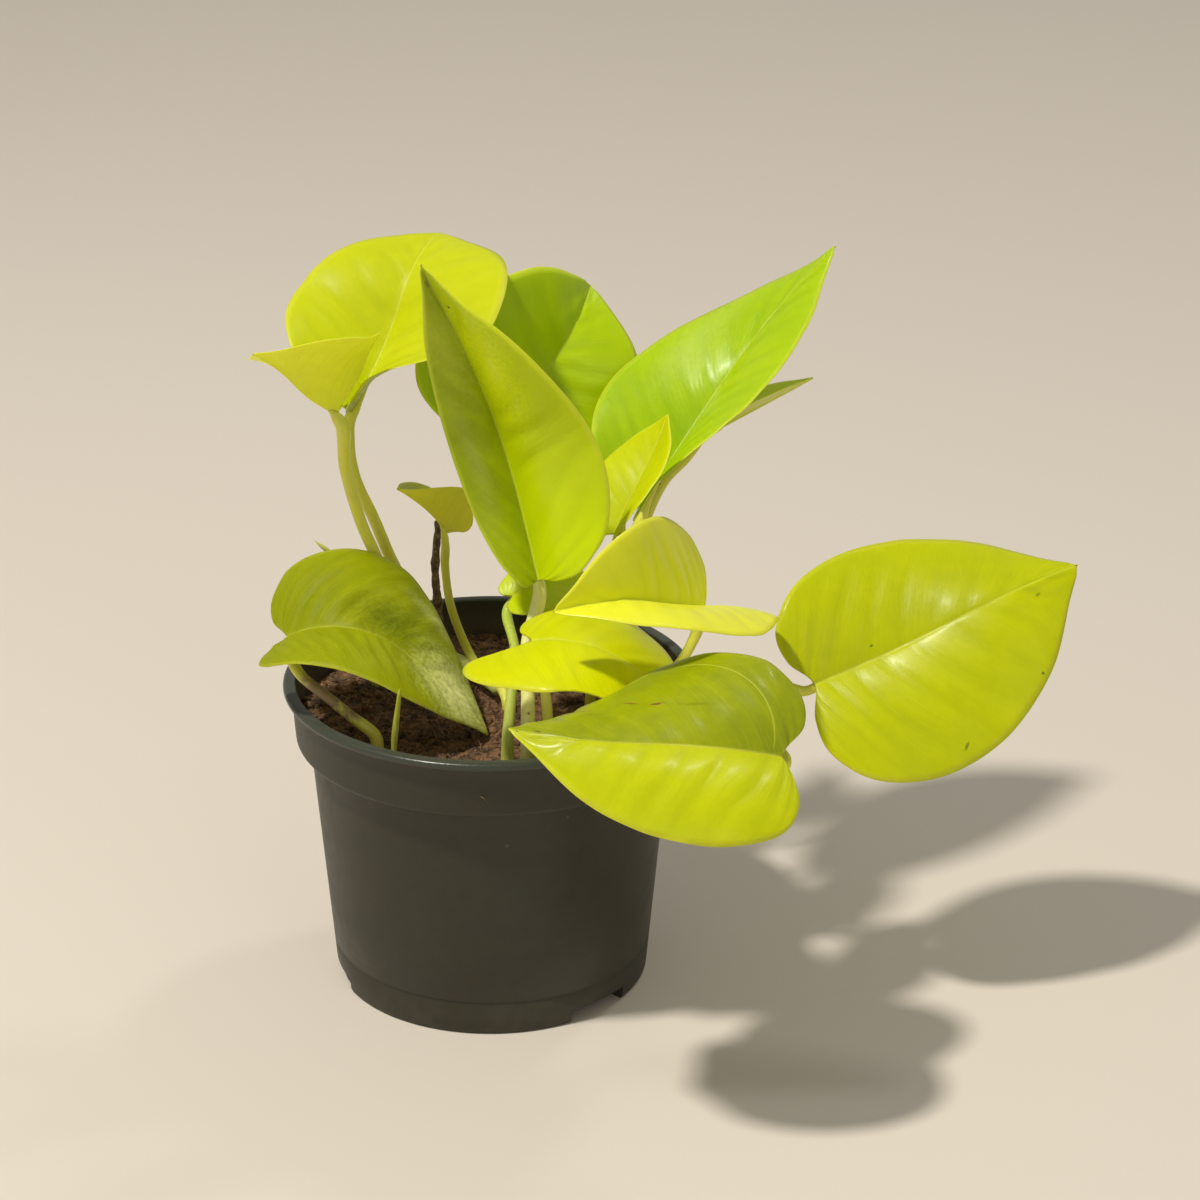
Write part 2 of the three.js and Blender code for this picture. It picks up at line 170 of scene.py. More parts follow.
def group(name: str, kind: str, inputs: dict[str, object], outputs: dict[str, str]) -> tuple[Graph, object, object]:
    """Start a node group with named sockets.

    Args:
        name: The group's name.
        kind: ShaderNodeTree or GeometryNodeTree.
        inputs: Input name to its default, or to a socket type name where it has none.
        outputs: Output name to its socket type name.

    Returns:
        The group's graph, its input node and its output node.
    """
    tree = bpy.data.node_groups.new(name, kind)
    for label, default in inputs.items():
        if isinstance(default, str):
            tree.interface.new_socket(name=label, in_out="INPUT", socket_type=default)
        elif isinstance(default, int):
            tree.interface.new_socket(name=label, in_out="INPUT", socket_type="NodeSocketInt").default_value = default
        else:
            socket = tree.interface.new_socket(name=label, in_out="INPUT", socket_type="NodeSocketFloat")
            socket.default_value = default
    for label, socket_type in outputs.items():
        tree.interface.new_socket(name=label, in_out="OUTPUT", socket_type=socket_type)
    graph = Graph(tree)
    return graph, tree.nodes.new("NodeGroupInput"), tree.nodes.new("NodeGroupOutput")


class Effects:
    """Shader node groups that several finishes share, each built once."""

    _made: dict[str, bpy.types.NodeTree] = {}

    @classmethod
    def _keep(cls, name: str, build: object) -> bpy.types.NodeTree:
        """Return the named group, building it at its first use."""
        if name not in cls._made:
            cls._made[name] = build()
        return cls._made[name]

    @classmethod
    def mottle(cls) -> bpy.types.NodeTree:
        """Blotchy value between 0 and 1 from noise on two scales."""

        def build() -> bpy.types.NodeTree:
            """Build the group."""
            g, i, o = group(
                "mottle", "ShaderNodeTree",
                {"Vector": "NodeSocketVector", "Scale": 60.0, "Fine": 5.0, "Low": 0.3, "High": 0.7},
                {"Value": "NodeSocketFloat"},
            )
            broad = g.node("ShaderNodeTexNoise", {"Vector": i.outputs[0], "Scale": i.outputs[1], "Detail": 3.0})
            scale = g.math("MULTIPLY", i.outputs[1], i.outputs[2])
            small = g.node("ShaderNodeTexNoise", {"Vector": i.outputs[0], "Scale": scale, "Detail": 2.0})
            both = g.math("ADD", g.math("MULTIPLY", broad.outputs[0], 0.7), g.math("MULTIPLY", small.outputs[0], 0.3))
            held = g.node("ShaderNodeMapRange", {0: both, 1: i.outputs[3], 2: i.outputs[4]})
            g.tree.links.new(held.outputs[0], o.inputs[0])
            return g.tree

        return cls._keep("mottle", build)

    @classmethod
    def vein_bands(cls) -> bpy.types.NodeTree:
        """Soft mask of side veins, 1 on each whole number of the vein map's first value, broken by streaks."""

        def build() -> bpy.types.NodeTree:
            """Build the group."""
            g, i, o = group(
                "vein_bands", "ShaderNodeTree",
                {"Map": "NodeSocketVector", "Width": 0.25, "Repeats": 1.0, "Broken": 0.5},
                {"Mask": "NodeSocketFloat"},
            )
            split = g.node("ShaderNodeSeparateXYZ", {0: i.outputs[0]})
            streaks = g.node("ShaderNodeTexNoise", {"Vector": i.outputs[0], "Scale": 2.6, "Detail": 3.0}).outputs[0]
            drift = g.math("MULTIPLY", g.math("SUBTRACT", streaks, 0.5), 0.35)
            phase = g.math("MULTIPLY", g.math("ADD", split.outputs[0], drift), i.outputs[2])
            away = g.math("ABSOLUTE", g.math("SUBTRACT", g.math("FRACT", g.math("ADD", phase, 0.5)), 0.5))
            line = g.node("ShaderNodeMapRange", {0: away, 1: 0.0, 2: i.outputs[1], 3: 1.0, 4: 0.0})
            line.interpolation_type = "SMOOTHSTEP"
            fade = g.math("MULTIPLY", g.remap(split.outputs[1], 0.5, 1.0, 1.0, 0.0), line.outputs[0])
            gaps = g.math("MULTIPLY", g.remap(streaks, 0.35, 0.6, 1.0, 0.0), i.outputs[3])
            g.tree.links.new(g.math("MULTIPLY", fade, g.math("SUBTRACT", 1.0, gaps)), o.inputs[0])
            return g.tree

        return cls._keep("vein_bands", build)

    @classmethod
    def streaks(cls) -> bpy.types.NodeTree:
        """Blotches drawn out along the side veins, between 0 and 1."""

        def build() -> bpy.types.NodeTree:
            """Build the group."""
            g, i, o = group(
                "streaks", "ShaderNodeTree",
                {"Map": "NodeSocketVector", "Across": 1.7, "Along": 1.1},
                {"Value": "NodeSocketFloat"},
            )
            size = g.node("ShaderNodeCombineXYZ", {0: i.outputs[1], 1: i.outputs[2], 2: 1.0})
            drawn = g.node("ShaderNodeVectorMath", {0: i.outputs[0], 1: size.outputs[0]}, operation="MULTIPLY")
            tone = g.node("ShaderNodeTexNoise", {"Vector": drawn.outputs[0], "Scale": 1.0, "Detail": 2.0})
            g.tree.links.new(g.remap(tone.outputs[0], 0.32, 0.68), o.inputs[0])
            return g.tree

        return cls._keep("streaks", build)

    @classmethod
    def blot(cls) -> bpy.types.NodeTree:
        """Mask of one ragged oval spot at a place on the blade's own flat map."""

        def build() -> bpy.types.NodeTree:
            """Build the group."""
            g, i, o = group(
                "blot", "ShaderNodeTree",
                {
                    "Map": "NodeSocketVector", "Along": 0.0, "Across": 0.0, "Half Length": 0.01,
                    "Half Width": 0.01, "Turn": 0.0, "Softness": 0.0,
                },
                {"Mask": "NodeSocketFloat"},
            )
            ragged = g.node("ShaderNodeTexNoise", {"Vector": i.outputs[0], "Scale": 90.0, "Detail": 3.0})
            centre = g.node("ShaderNodeCombineXYZ", {0: i.outputs[1], 1: i.outputs[2]})
            off = g.node("ShaderNodeVectorMath", {0: i.outputs[0], 1: centre.outputs[0]}, operation="SUBTRACT")
            turned = g.node(
                "ShaderNodeVectorRotate", {"Vector": off.outputs[0], "Angle": i.outputs[5]}, rotation_type="Z_AXIS"
            )
            size = g.node("ShaderNodeCombineXYZ", {0: i.outputs[3], 1: i.outputs[4], 2: 1.0})
            scaled = g.node("ShaderNodeVectorMath", {0: turned.outputs[0], 1: size.outputs[0]}, operation="DIVIDE")
            reach = g.node("ShaderNodeVectorMath", {0: scaled.outputs[0]}, operation="LENGTH")
            rough = g.math("ADD", reach.outputs["Value"], g.math("MULTIPLY", ragged.outputs[0], 1.2))
            start = g.math("SUBTRACT", 1.25, i.outputs[6])
            mask = g.node("ShaderNodeMapRange", {0: rough, 1: start, 2: 1.75, 3: 1.0, 4: 0.0})
            mask.interpolation_type = "SMOOTHSTEP"
            g.tree.links.new(mask.outputs[0], o.inputs[0])
            return g.tree

        return cls._keep("blot", build)

    @classmethod
    def bow(cls) -> bpy.types.NodeTree:
        """Mask of a thin ring on the blade's flat map, on one side of the midrib only."""

        def build() -> bpy.types.NodeTree:
            """Build the group."""
            g, i, o = group(
                "bow", "ShaderNodeTree",
                {
                    "Map": "NodeSocketVector", "Along": 0.0, "Across": 0.0, "Radius": 0.1, "Width": 0.002,
                    "Side": 1.0, "Until": 1.0,
                },
                {"Mask": "NodeSocketFloat"},
            )
            centre = g.node("ShaderNodeCombineXYZ", {0: i.outputs[1], 1: i.outputs[2]})
            off = g.node("ShaderNodeVectorMath", {0: i.outputs[0], 1: centre.outputs[0]}, operation="SUBTRACT")
            reach = g.node("ShaderNodeVectorMath", {0: off.outputs[0]}, operation="LENGTH").outputs["Value"]
            away = g.math("ABSOLUTE", g.math("SUBTRACT", reach, i.outputs[3]))
            line = g.node("ShaderNodeMapRange", {0: away, 1: 0.0, 2: i.outputs[4], 3: 1.0, 4: 0.0})
            split = g.node("ShaderNodeSeparateXYZ", {0: i.outputs[0]})
            held = g.remap(g.math("MULTIPLY", split.outputs[1], i.outputs[5]), 0.01, 0.03)
            left = g.math("MULTIPLY", g.math("SUBTRACT", i.outputs[6], split.outputs[0]), 20.0, clamp=True)
            line = g.math("MULTIPLY", line.outputs[0], left)
            g.tree.links.new(g.math("MULTIPLY", line, held), o.inputs[0])
            return g.tree

        return cls._keep("bow", build)

    @classmethod
    def specks(cls) -> bpy.types.NodeTree:
        """Mask of sparse small dots in random cells."""

        def build() -> bpy.types.NodeTree:
            """Build the group."""
            g, i, o = group(
                "specks", "ShaderNodeTree",
                {"Vector": "NodeSocketVector", "Scale": 200.0, "Size": 0.12, "Share": 0.1},
                {"Mask": "NodeSocketFloat"},
            )
            cells = g.node("ShaderNodeTexVoronoi", {"Vector": i.outputs[0], "Scale": i.outputs[1]})
            colour = g.node("ShaderNodeSeparateColor", {0: cells.outputs["Color"]})
            chosen = g.math("LESS_THAN", colour.outputs[0], i.outputs[3])
            dot = g.math("LESS_THAN", cells.outputs["Distance"], g.math("MULTIPLY", i.outputs[2], colour.outputs[1]))
            g.tree.links.new(g.math("MULTIPLY", chosen, dot), o.inputs[0])
            return g.tree

        return cls._keep("specks", build)


def place_group(graph: Graph, tree: bpy.types.NodeTree, inputs: dict) -> bpy.types.NodeSocket:
    """Put a shared shader group in a material.

    Args:
        graph: The material's graph.
        tree: The shared group.
        inputs: Its socket values and links.

    Returns:
        The group's first output.
    """
    return graph.node("ShaderNodeGroup", inputs, node_tree=tree).outputs[0]


def blank_material(name: str) -> tuple[bpy.types.Material, Graph, bpy.types.Node]:
    """Start a material with one Principled shader.

    Args:
        name: The material's name.

    Returns:
        The material, its graph and the shader node.
    """
    material = bpy.data.materials.new(name)
    material.use_nodes = True
    return material, Graph(material.node_tree), material.node_tree.nodes["Principled BSDF"]


@dataclass(frozen=True)
class Mark:
    """One scar or spot on a blade, or a soft patch of painted sheen, light or shade, in millimetres along and across
    it.
    """

    along: float
    across: float
    half_length: float
    half_width: float
    turn: float = 0.0
    strength: float = 1.0
    tint: Colour | None = None
    soft: bool = False


@dataclass(frozen=True)
class Arc:
    """One long pale vein that bows across a half blade, as part of a circle on the blade's flat map."""

    along: float
    across: float
    radius: float
    width: float = 0.25
    side: int = 1


@dataclass(frozen=True)
class LeafFinish:
    """Colours and surface of one leaf blade."""

    upper: Colour = (0.56, 0.66, 0.002)
    deep: Colour = (0.40, 0.54, 0.001)
    under: Colour = (0.46, 0.50, 0.02)
    pale: Colour = (0.72, 0.74, 0.10)
    brown: Colour = (0.20, 0.085, 0.025)
    # shade and halves: painted shade, one half of the blade darkened towards this colour where that half is turned from
    # the light
    shade: Colour = (0.20, 0.25, 0.004)
    halves: tuple[float, float] = (0.0, 0.0)
    roughness: float = 0.34
    under_roughness: float = 0.48
    tip: float = 0.6
    subsurface: float = 0.55
    coat: float = 0.06
    film: float = 0.22
    specular: float = 0.25
    # banding: share of painted shade laid in the valleys between the side veins
    banding: float = 0.28
    crepe: float = 0.30
    marks: tuple[Mark, ...] = ()
    sheens: tuple[Mark, ...] = ()
    arcs: tuple[Arc, ...] = ()

    @staticmethod
    def spot(g: Graph, flat: object, mark: Mark) -> bpy.types.NodeSocket:
        """Lay one mark on the blade's flat map.

        Args:
            g: The material's graph.
            flat: The flat map.
            mark: Its place and size.

        Returns:
            The mark's mask, already weakened to its strength.
        """
        mask = place_group(
            g, Effects.blot(),
            {
                "Map": flat, "Along": mark.along / FLAT_UNIT, "Across": mark.across / FLAT_UNIT,
                "Half Length": mark.half_length / FLAT_UNIT, "Half Width": mark.half_width / FLAT_UNIT,
                "Turn": math.radians(-mark.turn), "Softness": 0.9 if mark.soft else 0.0,
            },
        )
        return g.math("MULTIPLY", mask, mark.strength)

    def veined(self, g: Graph, colour: object, veins: object, midrib: object) -> bpy.types.NodeSocket:
        """Lay painted shade in the valleys along the side veins, their fine pale lines and the midrib over the blade's
        colour.

        Args:
            g: The material's graph.
            colour: The blade's colour so far.
            veins: The vein map.
            midrib: Mask of the midrib.

        Returns:
            The new colour.
        """
        valley_shade_mask = place_group(g, Effects.vein_bands(), {"Map": veins, "Width": 0.34, "Broken": 0.6})
        drawn = place_group(g, Effects.streaks(), {"Map": veins})
        fine = place_group(g, Effects.vein_bands(), {"Map": veins, "Width": 0.10, "Repeats": 5.0, "Broken": 0.9})
        # Painted shade in the quilted valleys between the side veins, and along streaks drawn out along them.
        colour = g.mix(g.math("MULTIPLY", valley_shade_mask, self.banding), colour, self.deep)
        colour = g.mix(g.math("MULTIPLY", drawn, 0.55 * self.banding), colour, self.deep)
        colour = g.mix(g.math("MULTIPLY", fine, 0.10), colour, self.pale)
        return g.mix(g.math("MULTIPLY", midrib, 0.35), colour, self.pale)

    def material(self, name: str) -> bpy.types.Material:
        """Build the blade's material.

        Args:
            name: The material's name.

        Returns:
            The material.
        """
        material, g, shader = blank_material(name)
        place = g.node("ShaderNodeTexCoord").outputs["Object"]
        veins = g.node("ShaderNodeUVMap", uv_map="veins").outputs[0]
        flat = g.node("ShaderNodeUVMap", uv_map="flat").outputs[0]
        areas = g.node("ShaderNodeAttribute", attribute_name="areas")
        midrib, margin, under = g.node("ShaderNodeSeparateColor", {0: areas.outputs["Color"]}).outputs
        tip = areas.outputs["Alpha"]

        clouds = place_group(g, Effects.mottle(), {"Vector": place, "Scale": 45.0, "Fine": 7.0})
        colour = g.mix(g.math("MULTIPLY", clouds, 0.45), self.upper, self.deep)
        # Painted shade: the chosen half of the blade is darkened towards the shade colour, as if turned from the light.
        across = g.node("ShaderNodeSeparateXYZ", {0: flat}).outputs[1]
        painted_shade_share = g.remap(across, -0.006, 0.006, self.halves[1], self.halves[0])
        painted_shade_share = g.math("MULTIPLY", painted_shade_share, g.remap(clouds, 0.0, 1.0, 0.8, 1.1))
        colour = g.mix(painted_shade_share, colour, self.shade)
        colour = self.veined(g, colour, veins, midrib)
        for arc in self.arcs:
            line = place_group(
                g, Effects.bow(),
                {
                    "Map": flat, "Along": arc.along / FLAT_UNIT, "Across": arc.across / FLAT_UNIT,
                    "Radius": arc.radius / FLAT_UNIT, "Width": arc.width / FLAT_UNIT, "Side": float(arc.side),
                    "Until": (arc.along + 0.5 * arc.radius) / FLAT_UNIT,
                },
            )
            colour = g.mix(g.math("MULTIPLY", line, 0.45), colour, self.pale)
        below = g.mix(g.math("MULTIPLY", clouds, 0.30), self.under, self.deep)
        below = g.mix(g.math("MULTIPLY", midrib, 0.5), below, self.pale)
        colour = g.mix(under, colour, below)
        colour = g.mix(g.math("MULTIPLY", margin, 0.35), colour, self.pale)
        spots = place_group(g, Effects.specks(), {"Vector": place, "Scale": 150.0, "Size": 0.12, "Share": 0.04})
        colour = g.mix(g.math("MULTIPLY", spots, 0.5), colour, self.brown)
        ragged = g.node("ShaderNodeTexNoise", {"Vector": place, "Scale": 900.0, "Detail": 2.0}).outputs[0]
        burnt = g.remap(g.math("ADD", tip, g.math("MULTIPLY", ragged, 0.4)), 1.0, 1.25)
        colour = g.mix(g.math("MULTIPLY", burnt, self.tip), colour, self.brown)
        # Scars and spots; the soft tinted marks are painted sheen, light or shade.
        for mark in self.marks:
            colour = g.mix(self.spot(g, flat, mark), colour, mark.tint or self.brown)
        g.tree.links.new(colour, shader.inputs["Base Color"])

        gloss = g.node("ShaderNodeMix", {0: under, 2: self.roughness, 3: self.under_roughness}).outputs[0]
        gloss = g.math("ADD", gloss, g.math("MULTIPLY", g.math("SUBTRACT", clouds, 0.5), 0.10))
        g.tree.links.new(gloss, shader.inputs["Roughness"])

        cells = g.node("ShaderNodeTexNoise", {"Vector": place, "Scale": 1100.0, "Detail": 2.0}).outputs[0]
        crepe = place_group(g, Effects.streaks(), {"Map": veins, "Across": 7.0, "Along": 5.0})
        height = g.math("ADD", g.math("MULTIPLY", cells, 0.10), g.math("MULTIPLY", crepe, self.crepe))
        bump = g.node("ShaderNodeBump", {"Height": height, "Strength": 0.35, "Distance": 0.00022})
        g.tree.links.new(bump.outputs[0], shader.inputs["Normal"])

        if self.sheens:
            broken = place_group(g, Effects.streaks(), {"Map": veins, "Across": 3.0, "Along": 2.2})
            broken = g.remap(broken, 0.0, 1.0, 0.35, 1.0)
            film = g.math("ADD", self.coat, 0.0)
            for sheen in self.sheens:
                film = g.math("MAXIMUM", film, g.math("MULTIPLY", self.spot(g, flat, sheen), broken))
            g.tree.links.new(film, shader.inputs["Coat Weight"])

        shader.inputs["Subsurface Weight"].default_value = self.subsurface
        shader.inputs["Subsurface Radius"].default_value = (0.9, 1.0, 0.2)
        shader.inputs["Subsurface Scale"].default_value = 0.0008
        shader.inputs["Specular IOR Level"].default_value = self.specular
        shader.inputs["Coat Weight"].default_value = self.coat
        shader.inputs["Coat Roughness"].default_value = self.film
        shader.inputs["IOR"].default_value = 1.45
        return material


@dataclass(frozen=True)
class StalkFinish:
    """Colours of a stalk from the soil to the blade."""

    low: Colour = (0.80, 0.78, 0.12)
    high: Colour = (0.80, 0.80, 0.08)
    dry: Colour = (0.20, 0.11, 0.06)
    streak: Colour = (0.66, 0.70, 0.16)
    dry_from: float = 0.0
    dry_to: float = 0.0
    roughness: float = 0.42

    def material(self, name: str) -> bpy.types.Material:
        """Build the stalk's material.

        Args:
            name: The material's name.

        Returns:
            The material.
        """
        material, g, shader = blank_material(name)
        place = g.node("ShaderNodeTexCoord").outputs["Object"]
        run = g.node("ShaderNodeAttribute", attribute_name="run").outputs["Fac"]
        long = g.node("ShaderNodeMapping", {"Vector": place, "Scale": (1.0, 1.0, 0.12)}).outputs[0]
        grain = g.node("ShaderNodeTexNoise", {"Vector": long, "Scale": 900.0, "Detail": 3.0}).outputs[0]
        blotches = place_group(g, Effects.mottle(), {"Vector": place, "Scale": 120.0, "Fine": 4.0})
        colour = g.mix(run, self.low, self.high)
        colour = g.mix(g.math("MULTIPLY", g.remap(grain, 0.45, 0.7), 0.45), colour, self.streak)
        foot = g.remap(run, 0.02, 0.16, 1.0, 0.0)
        dry = g.math("MULTIPLY", foot, g.remap(blotches, 0.35, 0.8))
        if self.dry_to > 0:
            band = g.math(
                "MULTIPLY", g.remap(run, self.dry_from, self.dry_from + 0.08),
                g.remap(run, self.dry_to - 0.08, self.dry_to, 1.0, 0.0),
            )
            dry = g.math("MAXIMUM", dry, g.math("MULTIPLY", band, g.remap(blotches, 0.1, 0.6)))
        colour = g.mix(g.math("MULTIPLY", dry, 0.85), colour, self.dry)
        spots = place_group(g, Effects.specks(), {"Vector": place, "Scale": 420.0, "Size": 0.22, "Share": 0.10})
        colour = g.mix(g.math("MULTIPLY", spots, 0.6), colour, self.dry)
        g.tree.links.new(colour, shader.inputs["Base Color"])
        gloss = g.remap(grain, 0.3, 0.7, self.roughness - 0.06, self.roughness + 0.1)
        g.tree.links.new(gloss, shader.inputs["Roughness"])
        bump = g.node("ShaderNodeBump", {"Height": grain, "Strength": 0.35, "Distance": 0.0004})
        g.tree.links.new(bump.outputs[0], shader.inputs["Normal"])
        shader.inputs["Subsurface Weight"].default_value = 0.25
        shader.inputs["Subsurface Radius"].default_value = (0.9, 1.0, 0.3)
        shader.inputs["Subsurface Scale"].default_value = 0.001
        return material


@dataclass(frozen=True)
class PlasticFinish:
    """Dark moulded plastic of the pot."""

    body: Colour = (0.034, 0.028, 0.016)
    # mottle_and_lip_sheen: tone of the body's mottle, and the painted sky reflection on the lip's edge
    mottle_and_lip_sheen: Colour = (0.056, 0.066, 0.050)
    dust: Colour = (0.13, 0.10, 0.07)
    roughness: float = 0.46

    def material(self, name: str) -> bpy.types.Material:
        """Build the pot's material.

        Args:
            name: The material's name.

        Returns:
            The material.
        """
        material, g, shader = blank_material(name)
        place = g.node("ShaderNodeTexCoord").outputs["Object"]
        height = g.node("ShaderNodeSeparateXYZ", {0: place}).outputs[2]
        clouds = place_group(g, Effects.mottle(), {"Vector": place, "Scale": 35.0, "Fine": 8.0})
        ringed = g.node("ShaderNodeMapping", {"Vector": place, "Scale": (0.25, 0.25, 6.0)}).outputs[0]
        rings = g.node("ShaderNodeTexNoise", {"Vector": ringed, "Scale": 160.0, "Detail": 2.0}).outputs[0]
        areas = g.node("ShaderNodeAttribute", attribute_name="areas")
        inner, edge, foot = g.node("ShaderNodeSeparateColor", {0: areas.outputs["Color"]}).outputs
        colour = g.mix(g.math("MULTIPLY", clouds, 0.35), self.body, self.mottle_and_lip_sheen)
        # Painted reflection: the lip's edge takes this teal tint as if catching the sky.
        colour = g.mix(g.math("MULTIPLY", edge, 0.75), colour, self.mottle_and_lip_sheen)
        scuffs = place_group(g, Effects.specks(), {"Vector": place, "Scale": 260.0, "Size": 0.16, "Share": 0.06})
        colour = g.mix(g.math("MULTIPLY", scuffs, 0.35), colour, self.dust)
        soiled = g.math("MULTIPLY", inner, g.remap(height, 0.0835, 0.0735))
        soiled = g.math("MAXIMUM", soiled, g.math("MULTIPLY", foot, 0.25))
        soiled = g.math("MULTIPLY", soiled, g.remap(clouds, 0.2, 0.7))
        colour = g.mix(g.math("MULTIPLY", soiled, 0.7), colour, self.dust)
        g.tree.links.new(colour, shader.inputs["Base Color"])
        gloss = g.math("ADD", self.roughness, g.math("MULTIPLY", g.math("SUBTRACT", clouds, 0.5), 0.16))
        gloss = g.math("ADD", gloss, g.math("MULTIPLY", soiled, 0.3))
        gloss = g.math("SUBTRACT", gloss, g.math("MULTIPLY", edge, 0.18))
        g.tree.links.new(gloss, shader.inputs["Roughness"])
        skin = g.node("ShaderNodeTexNoise", {"Vector": place, "Scale": 1500.0, "Detail": 2.0}).outputs[0]
        relief = g.math("ADD", g.math("MULTIPLY", skin, 0.5), g.math("MULTIPLY", rings, 0.35))
        bump = g.node("ShaderNodeBump", {"Height": relief, "Strength": 0.22, "Distance": 0.0003})
        g.tree.links.new(bump.outputs[0], shader.inputs["Normal"])
        shader.inputs["Specular IOR Level"].default_value = 0.36
        return material


@dataclass(frozen=True)
class EarthFinish:
    """Potting mix, chips or fibres: a dark and a light tone, patchy and matt."""

    dark: Colour = (0.042, 0.023, 0.011)
    light: Colour = (0.25, 0.13, 0.055)
    scale: float = 260.0
    roughness: float = 0.92

    def material(self, name: str) -> bpy.types.Material:
        """Build the material.

        Args:
            name: The material's name.

        Returns:
            The material.
        """
        material, g, shader = blank_material(name)
        place = g.node("ShaderNodeTexCoord").outputs["Object"]
        clouds = place_group(
            g, Effects.mottle(), {"Vector": place, "Scale": self.scale, "Fine": 4.0, "Low": 0.38, "High": 0.66}
        )
        colour = g.mix(clouds, self.dark, self.light)
        grit = place_group(g, Effects.specks(), {"Vector": place, "Scale": 900.0, "Size": 0.3, "Share": 0.08})
        colour = g.mix(g.math("MULTIPLY", grit, 0.4), colour, tuple(min(1.0, c * 2.2) for c in self.light))
        g.tree.links.new(colour, shader.inputs["Base Color"])
        gloss = g.remap(clouds, 0.0, 1.0, self.roughness - 0.12, self.roughness)
        g.tree.links.new(gloss, shader.inputs["Roughness"])
        fine = g.node("ShaderNodeTexNoise", {"Vector": place, "Scale": 1400.0, "Detail": 4.0}).outputs[0]
        bump = g.node("ShaderNodeBump", {"Height": fine, "Strength": 0.8, "Distance": 0.0005})
        g.tree.links.new(bump.outputs[0], shader.inputs["Normal"])
        return material


def new_piece(name: str, mesh: bpy.types.Mesh) -> bpy.types.Object:
    """Put a mesh in the scene as an object at the origin.

    Args:
        name: The piece's name.
        mesh: Its mesh, already in place.

    Returns:
        The object.
    """
    mesh.name = name
    piece = bpy.data.objects.new(name, mesh)
    bpy.context.scene.collection.objects.link(piece)
    return piece


def baked(piece: bpy.types.Object) -> bpy.types.Object:
    """Turn a piece's modifiers into its plain mesh.

    Args:
        piece: The object with live modifiers.

    Returns:
        The same object without them.
    """
    depsgraph = bpy.context.evaluated_depsgraph_get()
    mesh = bpy.data.meshes.new_from_object(piece.evaluated_get(depsgraph), depsgraph=depsgraph)
    piece.modifiers.clear()
    piece.data = mesh
    mesh.name = piece.name
    return piece


def faces_out(piece: bpy.types.Object, merge: float = 0.0) -> None:
    """Merge doubles and turn every face of a closed mesh outwards.

    Args:
        piece: The object.
        merge: Distance in metres under which points are merged, or 0 for none.
    """
    work = bmesh.new()
    work.from_mesh(piece.data)
    if merge > 0:
        bmesh.ops.remove_doubles(work, verts=work.verts, dist=merge)
    bmesh.ops.recalc_face_normals(work, faces=work.faces)
    work.to_mesh(piece.data)
    work.free()
    piece.data.shade_smooth()


def joined(main: bpy.types.Object, others: list[bpy.types.Object]) -> bpy.types.Object:
    """Join objects into the first one, with their materials and attributes.

    Args:
        main: The object that stays.
        others: The objects that go into it.

    Returns:
        The main object.
    """
    with bpy.context.temp_override(active_object=main, object=main, selected_editable_objects=[main, *others]):
        bpy.ops.object.join()
    return main


def use_tree(piece: bpy.types.Object, tree: bpy.types.NodeTree, values: dict[str, object]) -> None:
    """Add a Geometry Nodes modifier and set its named inputs.

    Args:
        piece: The object.
        tree: The node group.
        values: Input name to value.
    """
    modifier = piece.modifiers.new(tree.name, "NODES")
    modifier.node_group = tree
    for item in tree.interface.items_tree:
        if item.item_type == "SOCKET" and item.in_out == "INPUT" and item.name in values:
            modifier[item.identifier] = values[item.name]


